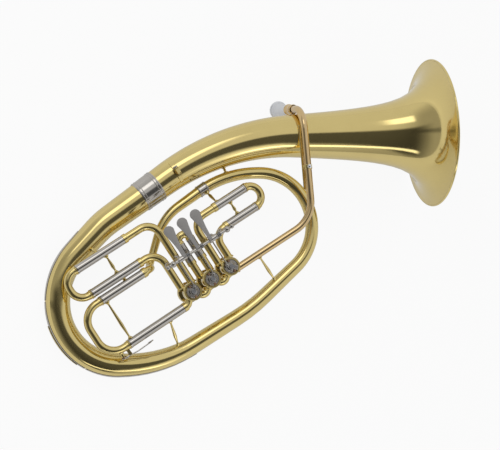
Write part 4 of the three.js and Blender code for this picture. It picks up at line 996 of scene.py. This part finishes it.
    def upright(self, x, y, half, radius, sides):
        """A rod across the slides' plane."""
        plane = valve().plane
        return rod(row_spot(x, y, plane - half), row_spot(x, y, plane + half), radius, sides)

    def water_key(self, pin_x, pin_y, nipple_x, top):
        """The key with its arm, pad cup, barrel and touch."""
        pad_top = top - NIPPLE_REACH - tubes().clearance
        rows = mm([(3.0, 0), (3.4, 0.5), (3.4, 1.2), (3.0, 1.2)])
        pad = turned(rows, leg(nipple_x, pad_top), ROW_DOWN, 32)
        rows = mm([(3.6, 0), (4.0, 0.4), (4.0, 1.4), (2.8, 2.1), (1.0, 2.4)])
        cup = turned(rows, leg(nipple_x, pad_top - 0.0010), ROW_DOWN, 32)
        barrel = self.upright(pin_x, pin_y, 0.0013, 0.0027, 24)
        arm_y = pin_y - KEY_HALF
        touch_x, touch_y = pin_x + TOUCH_REACH, top - TOUCH_DROP
        rows = mm([(3.6, 0), (4.2, 0.4), (4.2, 1.0), (3.7, 1.4)])
        touch = turned(rows, leg(touch_x, touch_y), -ROW_DOWN, 32)
        pivot = (pin_x, arm_y)
        front = leg_route((nipple_x, pad_top - 0.0028), (nipple_x + 0.003, arm_y - 0.0006, 0.003), pivot)
        back = leg_route(pivot, (pin_x + 0.010, arm_y - 0.0012, 0.02), (touch_x, touch_y + 0.0002))
        arms = self.bar(front, 0.0014, 0.0010), self.bar(back, 0.0013, 0.0009)
        add_piece("water_key_arm", join(cup, barrel, touch, *arms), "nickel", "water_key", "water_key")
        add_piece("water_key_pad", pad, "cork", body_name="water_key")

    def bar(self, route, half_width, half_height):
        """A flat bar along a route."""
        loops = []
        for _, spot, side, across in rings(route, spaced(route.stops(0, route.length))):
            loop = []
            for c, s in arc(0, 2 * math.pi, 16)[:-1]:
                squash = (abs(c) ** 4 + abs(s) ** 4) ** -0.25
                loop.append(spot + side * (half_width * c * squash) + across * (half_height * s * squash))
            loops.append(loop)
        return skin(loops)

    def links(self):
        """The short bent tubes between neighbouring valves."""
        v = valve()
        for name, x in (("valve_link_1_2", v.pitch / 2), ("valve_link_2_3", -v.pitch / 2)):
            route = leg_route((x + v.pitch / 2, 0), (x, -v.pitch / 2, ELBOW_BEND), (x - v.pitch / 2, 0))
            half = mm([(1.0, 0), (1.0, 1.6), (0, 2.2)], self.radius, v.casing_radius - 0.0008)
            rows = [(s, outer, tubes().bore) for outer, s in half]
            rows += [(route.length - s, outer, bore) for s, outer, bore in rows[::-1]]
            add_piece(name + "_tube", tube(route, rows), "lacquer", name)


CAP_DEPTH = 4.4
POST_PLACE = 0.0074
POST_RADIUS = 0.0015
LUG_HALF = 0.0028
STEM_BORE = 0.0031


def crank_turn(side):
    """The angle at which a valve's crank stands at rest."""
    return math.pi / 4 if side > 0 else math.pi * 3 / 4


def pull_in(points, rows, sides, centre, part):
    """Pulls every other point of some rows towards an axis, for a knurl."""
    for row in rows:
        for i in range(row * sides, (row + 1) * sides, 2):
            points[i] = points[i] + (centre(points[i]) - points[i]) * part


class HORN_OT_valves(bpy.types.Operator):
    """Builds the valves' casings, caps and front plates"""

    bl_idname = "horn.valves"
    bl_label = "Valves"

    def execute(self, context):
        v = valve()
        bottom, top = v.plane - v.casing_length / 2, v.plane + v.casing_length / 2
        for number, x, side in valve_spots():
            self.casing(number, x, bottom, top + v.lip_length)
            self.cap(number, x, bottom)
            self.plate(number, x, side, top)
        return {"FINISHED"}

    def casing(self, number, x, bottom, front):
        """The casing with its turned beads and front lip."""
        v = valve()
        r, reach = v.casing_radius, front - bottom
        lip, seat = r - v.lip_wall, reach - v.lip_length
        beads = [(0, -5.0), (-0.4, -4.7), (-0.4, -4.2), (0, -3.9), (0, -0.6), (-0.5, 0)]
        rows = mm([(-1.3, 0), (-0.2, 0), (0, 0.3)], r) + mm(beads, r, reach)
        rows += [*mm([(0.5, 0), (0, -0.4)], lip, reach), (lip, seat), (rows[0][0], seat), rows[0]]
        shape = turned(rows, row_spot(x, 0, bottom), UP, 72)
        add_piece(f"casing_{number}_shell", shape, "lacquer", f"casing_{number}")

    def cap(self, number, x, bottom):
        """The back cap with a knurled skirt."""
        inner = valve().casing_radius + tubes().clearance
        outer, sides = inner + 0.0016, 96
        groove = ((0, 0), (0.45, 0), (0.5, 0.3), (0.78, 0.3), (0.82, 0))
        rows = [(outer * part, deep * 0.001) for part, deep in groove]
        rows += mm([(-0.8, 0), (0, 0.8), (0, 2.4), (0, 5.6), (-0.3, 6.6), (-0.5, 7.4)], outer)
        rows += mm([(0, 7.4), (0, CAP_DEPTH)], inner) + mm([(3.2, CAP_DEPTH), (3.2, 1.6), (0, 1.6)])
        foot = row_spot(x, 0, bottom - tubes().clearance - CAP_DEPTH * 0.001)
        points, faces = turned(rows, foot, UP, sides)
        pull_in(points, (7, 8), sides, lambda p: Vector((foot.x, foot.y, p.z)), 0.0004 / outer)
        name = f"back_cap_{number}"
        add_piece(name + "_knurled", (points, faces), "lacquer", name, sharp=0.5)

    def plate(self, number, x, side, top):
        """The front bearing plate with turned rings and corked stops."""
        v, gap = valve(), tubes().clearance
        outer = v.casing_radius - v.lip_wall - gap
        turns = [(0, 2.0), (-0.4, 2.4), (-1.4, 2.4), (-1.8, 2.1), (-2.6, 2.1), (-3.0, 2.4)]
        rows = [(STEM_BORE, 0), (outer, 0), *mm(turns, outer), (STEM_BORE, 0.0024), (STEM_BORE, 0)]
        shape = turned(rows, row_spot(x, 0, top + gap), UP, 64)
        first = crank_turn(side) + math.pi
        spread = side * math.asin((LUG_HALF + POST_RADIUS + gap) / POST_PLACE)
        posts = []
        for a in (first + spread, first - side * math.pi / 2 - spread):
            px, py = x + POST_PLACE * math.cos(a), POST_PLACE * math.sin(a)
            low, high = row_spot(px, py, top + 0.0010), row_spot(px, py, top + v.lip_length + 0.0033)
            posts.append(rod(low, high, POST_RADIUS, 24))
        add_piece(f"bearing_plate_{number}_turned", shape, "nickel", f"bearing_plate_{number}")
        add_piece(f"stop_corks_{number}", join(*posts), "cork")


CRANK_THICKNESS = 0.003
LEVER_ARM_HALF = 0.0015
EYE_HALF = 0.0011
EYE_RADIUS = 0.0029
SLEEVE_WALL = 0.0016
ROD_ENDS = (-0.0465, 0.054)
FINIAL_RADIUS = 0.0030
POST_HEAD_RADIUS = 0.0042
# The swelling of a hinge rod's post: radius in millimetres, share of the post's height
POST_SWELL = (
    (1.8, 0.25), (2.1, 0.42), (3.0, 0.46), (3.2, 0.50), (3.0, 0.54), (2.1, 0.58), (1.8, 0.75),
)


class HORN_OT_action(bpy.types.Operator):
    """Builds the levers, links, cranks, hinge rod, posts and springs"""

    bl_idname = "horn.action"
    bl_label = "Levers and links"

    def execute(self, context):
        v, gap = valve(), tubes().clearance
        self.arm_floor = v.plane + v.casing_length / 2 + v.lip_length + gap
        self.link_floor = self.arm_floor + CRANK_THICKNESS + gap
        self.link_height = self.link_floor + EYE_HALF
        self.rod_height = self.link_height + v.arm_length
        self.swing = v.crank_radius * math.sin(math.pi / 4)
        self.lever_swing = math.asin(self.swing / v.arm_length)
        for number, x, side in valve_spots():
            self.crank(number, x, side)
            self.link(number, x + side * self.swing)
            self.lever(number, x, side)
        self.rod_and_posts()
        for number, x, side in valve_spots():
            self.spring(number, x, side)
        return {"FINISHED"}

    def in_row(self, *shapes):
        """Shapes made in the row's frame, told in the horn's frame."""
        return moved(join(*shapes), TO_ROW)

    def crank(self, number, x, side):
        """The stop arm: hub with its screw, crank with its pin, lug between the corks."""
        low, high = self.arm_floor, self.arm_floor + CRANK_THICKNESS
        r, top = valve().crank_radius, high + 0.0026
        pin_top = self.link_height + EYE_HALF + tubes().clearance
        place = TO_ROW @ (Matrix.Translation((x, 0, 0)) @ Matrix.Rotation(crank_turn(side), 4, "Z"))
        hub = turned(disc(0.0032, 0.0048, low, high, 0.0004, 0.0004), (0, 0, 0), UP, 40)
        crank = block((0.0033, -0.0014, low), (r, 0.0014, high))
        boss = turned(disc(0.0, 0.0026, low, high, 0.0004, 0.0003), (r, 0, 0), UP, 32)
        pin = turned(disc(0.0, 0.0013, low, pin_top, 0.0003, 0.0002), (r, 0, 0), UP, 24)
        lug = block((-0.0089, -LUG_HALF, low), (-0.0033, LUG_HALF, high), 0.0004)
        shape = moved(join(hub, crank, boss, pin, lug), place)
        add_piece(f"crank_{number}", shape, "nickel", f"stop_arm_{number}", f"rotor_{number}")
        screw = moved(turned(disc(0.0, 0.0033, low, top, 0.0006, 0.0006), (0, 0, 0), UP, 32), place)
        add_piece(f"crank_screw_{number}", screw, "steel", body_name=f"rotor_{number}")

    def link(self, number, x):
        """The link rod with its two eyes."""
        low, z = self.link_floor, self.link_height
        far_y = valve().rod_place + valve().arm_length * math.sin(self.lever_swing)
        rows = disc(0.0016, EYE_RADIUS, low, low + 2 * EYE_HALF, 0.0003, 0.0003)
        near = turned(rows, (x, self.swing, 0), UP, 36)
        bar = rod((x, self.swing + 0.0026, z), (x, far_y - 0.0026, z), 0.0010, 20)
        collar = rod((x, far_y - 0.0062, z), (x, far_y - 0.0024, z), 0.0013, 20)
        edge = [(2.7, -1.1), (2.9, -0.8), (2.9, 0.8), (2.7, 1.1)]
        rows = mm([(2.2, -1.1), *edge, (2.2, 1.1), (2.2, -1.1)])
        eye = turned(rows, (x, far_y, z), ROD_AXIS, 36)
        name = f"link_{number}"
        add_piece(name, self.in_row(near, bar, collar, eye), "nickel", f"link_rod_{number}", name)

    def lever_places(self, x, side):
        """Where a lever's arm and its finger plate stand along the hinge rod."""
        arm_x = x + side * (self.swing - EYE_HALF - tubes().clearance - LEVER_ARM_HALF)
        return arm_x, (x / valve().pitch) * valve().finger_pitch

    def lever(self, number, x, side):
        """A lever: sleeve on the rod, finger plate, arm and cross pin."""
        v = valve()
        arm_x, finger_x = self.lever_places(x, side)
        half, wide = v.neck_width / 2, LEVER_ARM_HALF
        low, high = min(finger_x - half, arm_x - wide), max(finger_x + half, arm_x + wide)
        sleeve_rows = self.beaded(low, high, v.rod_radius + tubes().clearance, v.rod_radius + SLEEVE_WALL)
        sleeve = turned(sleeve_rows, (0, v.rod_place, self.rod_height), ROD_AXIS, 32)
        drop, out = v.arm_length * math.cos(self.lever_swing), v.arm_length * math.sin(self.lever_swing)
        hinge = (0, v.rod_place, self.rod_height)
        tilt = Matrix.Translation(hinge) @ Matrix.Rotation(self.lever_swing, 4, "X")
        corners = (arm_x - wide, -wide, -drop - 0.0016), (arm_x + wide, wide, -0.0026)
        arm = moved(block(*corners, 0.0003), tilt)
        pin_end = x + side * (v.crank_radius + EYE_HALF + 0.0006)
        far_y, far_z = v.rod_place + out, self.rod_height - drop
        pin = rod((arm_x, far_y, far_z), (pin_end, far_y, far_z), 0.0013, 20)
        name = f"lever_{number}"
        add_piece(f"finger_plate_{number}", self.in_row(self.finger_plate(finger_x)), "matte", name, name)
        add_piece(f"lever_sleeve_{number}", self.in_row(sleeve, arm, pin), "nickel", name, name)

    def beaded(self, start, end, bore, outer):
        """A sleeve's rows with a turned bead at each end."""
        rows = [(bore, start), (outer, start)]
        for place in (start + 0.0003, end - 0.0015):
            for i, (_, s) in enumerate(arc(0, math.pi, 4)):
                rows.append((outer + 0.0004 * s, place + 0.0012 * i / 4))
        return [*rows, (outer, end), (bore, end), (bore, start)]

    def finger_plate(self, x):
        """The spoon-shaped plate with softened edges."""
        v = valve()
        neck, tip, tip_y = v.neck_width / 2, v.finger_radius, v.lever_length - v.finger_radius
        right = [(neck + t * t * (tip - neck), t * tip_y) for t in (i / 16 for i in range(16))]
        round_tip = [(tip * c, tip_y + tip * s) for c, s in arc(0, math.pi, 24)]
        ring = right + round_tip + [(-px, py) for px, py in right[::-1]]
        top = self.rod_height + v.rod_radius + SLEEVE_WALL
        centre = Vector((0, tip_y * 0.8))
        loops = []
        for inset, z in mm([(0.3, -1.8), (0, -1.5), (0, -0.4), (0.2, -0.1), (0.6, 0)], 0.0, top):
            loop = []
            for px, py in ring:
                pull = (centre - Vector((px, py))).normalized() * inset
                loop.append(Vector((x + px + pull.x, v.rod_place + py + (pull.y if py > 0 else 0), z)))
            loops.append(loop)
        return skin(loops)

    def rod_and_posts(self):
        """The hinge rod and its finials, and the posts."""
        v = valve()
        low, high = ROD_ENDS
        knob = [(FINIAL_RADIUS * s + 0.0001, FINIAL_RADIUS * c) for c, s in arc(0, math.pi, 10)[1:-1]]
        first, last = [(r, low - c) for r, c in knob], [(r, high - c) for r, c in knob]
        run = [(v.rod_radius, low + FINIAL_RADIUS), (v.rod_radius, high - FINIAL_RADIUS)]
        rows = [(0.0, low - FINIAL_RADIUS), *first, *run, *last, (0.0, high + FINIAL_RADIUS)]
        shape = self.in_row(turned(rows, (0, v.rod_place, self.rod_height), ROD_AXIS, 40))
        add_piece("hinge_rod_turned", shape, "nickel", "hinge_rod")
        floor = v.plane + tubes().bore + tubes().tube_wall
        tall = self.rod_height - floor
        rows = mm([(4.4, -0.4), (4.4, 0.8), (3.4, 1.6), (2.2, 4.0)])
        rows += [(r * 0.001, tall * part) for r, part in POST_SWELL]
        rows += mm([(2.4, -4.8), (3.4, -3.6)], 0.0, tall)
        right = high - FINIAL_RADIUS - POST_HEAD_RADIUS - tubes().clearance
        for name, x in (("rod_post_left", -v.pitch - v.port_offset), ("rod_post_right", right)):
            shape = self.in_row(turned(rows, (x, v.rod_place, floor), UP, 32), self.ring_head(x))
            add_piece(name + "_turned", shape, "nickel", name)

    def ring_head(self, x):
        """The post's ball head, pierced for the rod."""
        rows = [(POST_HEAD_RADIUS * c, POST_HEAD_RADIUS * s) for c, s in arc(-0.98, 0.98, 12)]
        rows = [(0.0023, rows[0][1]), *rows, (0.0023, rows[-1][1]), (0.0023, rows[0][1])]
        return turned(rows, (x, valve().rod_place, self.rod_height), ROD_AXIS, 40)

    def spring(self, number, x, side):
        """The wire coil beside a lever."""
        v = valve()
        arm_x, finger_x = self.lever_places(x, side)
        wire, pitch, turns, steps = 0.0004, 0.0013, 4, 24
        start = max(finger_x + v.neck_width / 2, arm_x + LEVER_ARM_HALF) + tubes().clearance + wire
        radius = v.rod_radius + 0.0007 + wire
        points = []
        for i, turn in enumerate(arc(0, 2 * math.pi * turns, steps * turns)):
            centre = Vector((start + pitch * i / steps, v.rod_place, self.rod_height))
            points.append(spoke(centre, Vector((0, 1, 0)), UP, radius, turn))
        loops = []
        for i, spot in enumerate(points):
            way = (points[min(i + 1, len(points) - 1)] - points[max(i - 1, 0)]).normalized()
            out = (ROD_AXIS - way * way.x).normalized()
            loops.append(circle(spot, out, way.cross(out), wire, 10))
        add_piece(f"spring_{number}", self.in_row(skin(loops)), "steel", f"lever_spring_{number}")


RECEIVER_LEAN = (-0.04, 0.14)
RECEIVER_WALL = 0.0011
SHANK_INSERT = 0.018
SHANK_BORE = 0.0032
CUP_DEPTH = 0.019
PIPE_WALL = 0.0006
PIPE_PLACE = 0.629
STRIP_THICKNESS = 0.0017
FACET_ROOM = 0.00055
PIPE_STAY_PLACE = 0.043
SLIDE_STAY_PLACE = -0.073
STRIP_HEAD = 0.021
BAND_PLACE = 0.66
HOLDER_PLACE = 0.738
# The mouthpiece's cup from shank to throat: shares of the rim's radius and of the cup's depth
CUP = (
    (0.50, -0.06), (0.62, 0.1), (0.72, 0.26), (0.79, 0.48), (0.82, 0.64), (0.85, 0.75),
    (0.92, 0.80), (0.98, 0.84), (1.0, 0.88), (1.0, 0.93), (0.975, 0.97), (0.93, 0.992),
    (0.88, 1.0), (0.81, 1.0), (0.76, 0.985), (0.72, 0.95), (0.69, 0.89), (0.665, 0.74),
    (0.62, 0.52), (0.53, 0.32), (0.40, 0.15), (0.26, 0.04), (0.178, 0.0),
)


class HORN_OT_pipe(bpy.types.Operator):
    """Builds the lead pipe, receiver, mouthpiece and their stays"""

    bl_idname = "horn.pipe"
    bl_label = "Lead pipe and mouthpiece"

    def execute(self, context):
        t, v, b = tubes(), valve(), body()
        route = body_route()
        at = body_places(route)
        x = PIPE_PLACE * b.body_length
        past = bell_radius_at(route, route.length - (b.body_length - x)) + FACET_ROOM
        lift = past + 2 * t.clearance + STRIP_THICKNESS + t.pipe_radius
        self.axis = Vector((*RECEIVER_LEAN, -1)).normalized()
        self.outer = t.pipe_radius + t.clearance + RECEIVER_WALL
        over = (past + t.clearance + self.outer) * math.hypot(1, RECEIVER_LEAN[1])
        corner = Vector((x, b.body_height + over - RECEIVER_LEAN[1] * lift, lift))
        start = row_spot(v.pitch, -v.port_offset, v.plane)
        run = (x + t.pipe_lean - start.x) / math.cos(ROW_ANGLE)
        turn = row_spot(v.pitch + run, -v.port_offset, lift)
        front = corner + self.axis * (t.pipe_bend + t.pipe_drop)
        end = front + self.axis * (t.receiver_length - SHANK_INSERT - t.clearance)
        inset = port_start()
        first = start + (turn - start).normalized() * inset
        pipe = Route((first,), (turn, t.pipe_turn_bend), (corner, t.pipe_bend), (end,))
        collar = mm([(1.0, 0), (1.0, 2.2), (0, 2.8)], t.pipe_radius)
        bore = t.pipe_radius - PIPE_WALL
        rows = [(s, outer, bore) for outer, s in [*collar, (t.pipe_radius, pipe.length)]]
        add_piece("lead_pipe_tube", tube(pipe, rows, 48), "rose", "lead_pipe")
        self.receiver(front)
        self.mouthpiece(front)
        self.strip(corner, turn)
        for name, spot, radius in (
            ("pipe_bow_stay", pipe.at(PIPE_STAY_PLACE - inset)[0], t.pipe_radius),
            ("slide_bow_stay", leg(SLIDE_STAY_PLACE, MAIN["low"]), 0.006),
        ):
            shape = stay_to_body(route, spot, radius, at["side"], at["lower"])
            add_piece(name + "_turned", shape, "lacquer", name)
        self.holder(route)
        return {"FINISHED"}

    def receiver(self, place):
        """The receiver with its rings."""
        reach, outer = tubes().receiver_length, self.outer
        inner = tubes().pipe_radius + tubes().clearance
        rows = [(inner, 0), *mm([(-0.3, 0), (0, 0.4), (0.5, 1.4), (0, 2.4)], outer)]
        lip = ((0, 0.80), (0.0006, 0.84), (0.0013, 0.88), (0.0013, 0.97), (0.0008, 1))
        rows += [(outer + rise, reach * part) for rise, part in lip]
        rows += [(0.0058, reach), (0.0055, reach * 0.22), (inner, reach * 0.18), (inner, 0)]
        add_piece("receiver_turned", turned(rows, place, self.axis, 56), "rose", "receiver")

    def mouthpiece(self, place):
        """The mouthpiece with its shank in the receiver."""
        t = tubes()
        tip = place + self.axis * (t.receiver_length - SHANK_INSERT)
        floor = t.mouthpiece_length - CUP_DEPTH
        rows = [(SHANK_BORE, 0), (0.0042, 0), (0.00505, SHANK_INSERT), (0.0055, floor * 0.72)]
        rows += [(t.mouthpiece_radius * a, floor + CUP_DEPTH * c) for a, c in CUP]
        shape = turned([*rows, rows[0]], tip, self.axis, 72)
        add_piece("mouthpiece_turned", shape, "silver", "mouthpiece", "mouthpiece", 0.8)

    def strip(self, corner, turn):
        """The strip between bell and lead pipe, its band round the pipe and the band's screw."""
        t = tubes()
        plane = -t.pipe_radius - t.clearance
        head = corner + (turn - corner).normalized() * STRIP_HEAD
        tilt = math.atan2(turn.x - corner.x, corner.y - turn.y)
        lean = Matrix.Translation(head) @ Matrix.Rotation(tilt, 4, "Z")
        strip = block((-t.stay_width, -t.stay_length, plane - STRIP_THICKNESS), (0, 0, plane), 0.0004)
        y, bore, outer = -BAND_PLACE * t.stay_length, t.pipe_radius + SEAT, t.pipe_radius + 0.0008
        edges = mm([(-0.4, -3), (0, -2.5), (0, 2.5), (-0.4, 3)], outer)
        rows = [(bore, -0.003), *edges, (bore, 0.003), (bore, -0.003)]
        band = turned(rows, (0, y, 0), (0, 1, 0), 48)
        add_piece("pipe_strip", moved(join(strip, band), lean), "lacquer", "pipe_stay")
        foot = turned(mm([(2.4, -0.4), (2.4, 0.5), (1.6, 1.2)]), (0, y, outer), UP, 24)
        knob = ball((0, y, outer + 0.0028), 0.0031)
        add_piece("pipe_strip_screw", moved(join(foot, knob), lean), "silver")

    def holder(self, route):
        """The clip holder on the bell's branch with its screw."""
        place = HOLDER_PLACE * route.length
        radius = bell_radius_at(route, place)
        spot, heading = route.at(place)
        local = Matrix.Translation(spot) @ Matrix.Rotation(math.atan2(heading.y, heading.x), 4, "Z")
        half_l, half_w, tall, bore, soft = 0.0025, 0.005, 0.009, 0.006, 0.0003
        inner, outer = radius + SEAT, radius + 0.0018
        strap = []
        for i, (c, s) in enumerate(arc(-0.75, 0.75, 24)):
            w = half_l if 2 < i < 22 else half_l * 0.8
            under, over = outer - soft, w - soft
            edge = ((-w, inner), (w, inner), (w, under), (over, outer), (-over, outer), (-w, under))
            strap.append([Vector((across, r * s, r * c)) for across, r in edge])
        wall = (2 * half_w - bore) / 2
        low = radius + tubes().clearance + 0.0006 + FACET_ROOM
        high, hole = low + tall, low + tall / 2 + 0.0006
        sides = [
            block((-half_l, -half_w, low), (half_l, wall - half_w, high)),
            block((-half_l, half_w - wall, low), (half_l, half_w, high)),
            block((-half_l, -half_w, low), (half_l, half_w, hole - bore / 2)),
            block((-half_l, -half_w, hole + bore / 2), (half_l, half_w, high)),
        ]
        add_piece("clip_holder_socket", moved(join(skin(strap), *sides), local), "lacquer", "clip_holder")
        shoulder = Vector((0, half_w + tubes().clearance, hole))
        stem = rod(Vector((0, bore / 2, hole)), shoulder, 0.0015, 20)
        rows = mm([(0, 0), (2.8, 0), (3.2, 0.4), (3.2, 2.0), (2.8, 2.4), (0, 2.4)])
        points, faces = turned(rows, shoulder, (0, 1, 0), 40)
        pull_in(points, (2, 3), 40, lambda p: Vector((0, p.y, hole)), 0.1)
        add_piece("clip_screw_knurled", moved(join(stem, (points, faces)), local), "nickel", "clip_screw")


class HORN_OT_hidden(bpy.types.Operator):
    """Gives the rotors inside the casings their metal"""

    bl_idname = "horn.hidden"
    bl_label = "Rotors"

    def execute(self, context):
        for number, _, _ in valve_spots():
            materials = frame["nodes"][f"rotor_{number}"].data.materials
            materials.clear()
            materials.append(metal("lacquer"))
        return {"FINISHED"}


# Studio

HORN_CENTRE = Vector((0.263, 0.180, 0))
VIEW_YAW = math.radians(14.4)
VIEW_PITCH = math.radians(5.0)
VIEW_ROLL = math.radians(2.24)
FLOOR_HALF = 6.0
FLOOR_DROP = 0.0002
FLOOR_SEEN = 0.92
FLOOR_IN_GLOSS = 0.3
LAMP_SIZE = (1.6, 1.0)
LAMP_PLACE = (-0.6, 1.2, 1.3)
EVEN_LIGHT = 0.85
SKY_LEVEL = 0.67
DIM_LEFT = 0.46
DIM_STREAK = 0.55
DARK_FRONT = 0.87
# Bright shapes of the studio as the horn mirrors them: (low, high, softness) up and across, and strength.
BRIGHT_SHAPES = (
    ((0.28, 0.47, 0.03), (-0.13, 0.1, 0.04), 1.1),
    ((-0.60, -0.51, 0.02), (-0.2, 0.42, 0.06), 1.5),
    ((-0.65, -0.38, 0.06), (0.27, 0.5, 0.05), 0.4),
)
LIGHT_PATH_CAMERA, LIGHT_PATH_GLOSSY, LIGHT_PATH_TRANSMISSION = 0, 3, 6


def camera_axes():
    """Right, up and back of the camera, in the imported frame."""
    yaw, pitch = Matrix.Rotation(VIEW_YAW, 3, "Y"), Matrix.Rotation(-VIEW_PITCH, 3, "X")
    turn = yaw @ pitch @ Matrix.Rotation(VIEW_ROLL, 3, "Z")
    return [HORN.to_3x3() @ axis for axis in turn]


class HORN_OT_stage(bpy.types.Operator):
    """Builds the floor, the light and the camera"""

    bl_idname = "horn.stage"
    bl_label = "Studio"

    def execute(self, context):
        right, up, back = camera_axes()
        self.camera(right, up, back)
        self.floor()
        self.light(right, up, back)
        self.sky(right, up, back)
        context.scene.view_settings.view_transform = "Standard"
        return {"FINISHED"}

    def camera(self, right, up, back):
        """The photograph's camera."""
        data = bpy.data.cameras.new("camera")
        data.sensor_width = 36.0
        data.lens = studio().lens
        data.clip_start, data.clip_end = 0.01, 50.0
        camera = bpy.data.objects.new("camera", data)
        bpy.context.scene.collection.objects.link(camera)
        spot = HORN @ HORN_CENTRE + back * studio().distance
        camera.matrix_world = Matrix.Translation(spot) @ Matrix((right, up, back)).transposed().to_4x4()
        bpy.context.scene.camera = camera

    def floor(self):
        """A wide pale floor that the camera sees as near white with the horn's soft shadow."""
        mesh = bpy.data.meshes.new("floor")
        corners = [(x * FLOOR_HALF, y * FLOOR_HALF, 0) for x, y in ((-1, -1), (1, -1), (1, 1), (-1, 1))]
        mesh.from_pydata(corners, [], [(0, 1, 2, 3)])
        floor = bpy.data.objects.new("floor", mesh)
        bpy.context.scene.collection.objects.link(floor)
        floor.location.z = -FLOOR_DROP
        material = bpy.data.materials.new("pale_floor")
        material.use_nodes = True
        sh = Shader(material.node_tree)
        plain = sh.node("ShaderNodeBsdfDiffuse", None, {"Color": (*studio().floor, 1.0)})
        glow = sh.node("ShaderNodeEmission", None, {"Color": (1, 1, 1, 1), "Strength": 1.0})
        straight, glossy, through = (
            sh.node("ShaderNodeLightPath", output=way)
            for way in (LIGHT_PATH_CAMERA, LIGHT_PATH_GLOSSY, LIGHT_PATH_TRANSMISSION)
        )
        seen = straight * FLOOR_SEEN + glossy * FLOOR_IN_GLOSS + through * FLOOR_SEEN
        mixed = sh.node("ShaderNodeMixShader", None, {0: seen, 1: plain, 2: glow})
        sh.node("ShaderNodeOutputMaterial", None, {"Surface": mixed})
        mesh.materials.append(material)

    def light(self, right, up, back):
        """One large soft lamp over the horn."""
        data = bpy.data.lights.new("soft_lamp", "AREA")
        data.shape = "RECTANGLE"
        data.size, data.size_y = LAMP_SIZE
        data.energy = studio().key_energy
        lamp = bpy.data.objects.new("soft_lamp", data)
        bpy.context.scene.collection.objects.link(lamp)
        aside, above, near = LAMP_PLACE
        spot = HORN @ HORN_CENTRE + back * near + up * above + right * aside
        aim = (HORN @ HORN_CENTRE - spot).normalized()
        lamp.matrix_world = Matrix.Translation(spot) @ aim.to_track_quat("-Z", "Y").to_matrix().to_4x4()
        lamp.visible_glossy = False

    def sky(self, right, up, back):
        """Soft light all round, dimmer on the left and dark in front, with three bright shapes.

        It is laid out as seen from the horn: across and rise are shares of a round map.
        """
        world = bpy.data.worlds.new("studio")
        bpy.context.scene.world = world
        world.use_nodes = True
        sh = Shader(world.node_tree)
        way = sh.node("ShaderNodeTexCoord", output=0)
        r, u, b = (sh.dot(way, axis) for axis in (right, up, back))
        depth = sh.node("ShaderNodeMath", {"operation": "MAXIMUM"}, {0: b + 1, 1: 0.05})
        across, rise = r / depth, u / depth
        left = (1 - sh.ramp(across + rise * 0.35, -0.2, 0.25)) * (1 - sh.ramp(rise, 0.35, 0.8))
        streak = sh.band(rise, -0.02, 0.05, 0.03) * (1 - sh.ramp(across, -0.3, 0.0))
        below = (1 - sh.ramp(rise + across * 0.1, 0.07, 0.15)) * sh.ramp(rise, -0.95, -0.6)
        inside = (1 - sh.ramp(across - rise * 0.6, 0.43, 0.56)) * sh.ramp(across, -0.55, -0.05)
        level = SKY_LEVEL * (1 - left * DIM_LEFT) * (1 - streak * DIM_STREAK)
        level = level * (1 - below * inside * DARK_FRONT)
        for up_band, across_band, strength in BRIGHT_SHAPES:
            level = level + sh.band(rise, *up_band) * sh.band(across, *across_band) * strength
        glossy = sh.node("ShaderNodeLightPath", output=LIGHT_PATH_GLOSSY)
        even = EVEN_LIGHT * (1 - glossy) + level * glossy
        inputs = {"Color": (*studio().sky, 1.0), "Strength": even}
        background = sh.node("ShaderNodeBackground", None, inputs)
        sh.node("ShaderNodeOutputWorld", None, {"Surface": background})


class HORN_PT_panel(bpy.types.Panel):
    """The horn's pieces in the sidebar"""

    bl_idname = "HORN_PT_panel"
    bl_label = "Alto horn"
    bl_space_type = "VIEW_3D"
    bl_region_type = "UI"
    bl_category = "Horn"

    def draw(self, context):
        for operator in OPERATORS:
            self.layout.operator(operator.bl_idname)
        for group in GROUPS:
            box = self.layout.box()
            settings = getattr(context.scene, group)
            for name in settings.bl_rna.properties.keys():
                if name not in {"rna_type", "name"}:
                    box.prop(settings, name)


OPERATORS = (
    HORN_OT_stage,
    HORN_OT_body,
    HORN_OT_trim,
    HORN_OT_slides,
    HORN_OT_valves,
    HORN_OT_action,
    HORN_OT_pipe,
    HORN_OT_hidden,
)
GROUPS = {
    "horn_body": HornBodySizes,
    "horn_valves": ValveSizes,
    "horn_tubes": TubeSizes,
    "horn_finish": FinishSettings,
    "horn_studio": StudioSettings,
}


def register():
    """Registers the sizes, the pieces and the panel."""
    for name, group in GROUPS.items():
        bpy.utils.register_class(group)
        setattr(bpy.types.Scene, name, PointerProperty(type=group))
    for operator in OPERATORS:
        bpy.utils.register_class(operator)
    bpy.utils.register_class(HORN_PT_panel)


def unregister():
    """Takes them away again."""
    bpy.utils.unregister_class(HORN_PT_panel)
    for operator in reversed(OPERATORS):
        bpy.utils.unregister_class(operator)
    for name, group in GROUPS.items():
        delattr(bpy.types.Scene, name)
        bpy.utils.unregister_class(group)


def main():
    """Builds the whole scene."""
    register()
    bpy.ops.horn.stage()
    bpy.ops.horn.body()
    bpy.ops.horn.trim()
    bpy.ops.horn.slides()
    bpy.ops.horn.valves()
    bpy.ops.horn.action()
    bpy.ops.horn.pipe()
    bpy.ops.horn.hidden()
    bpy.context.view_layer.update()


if __name__ == "__main__":
    main()
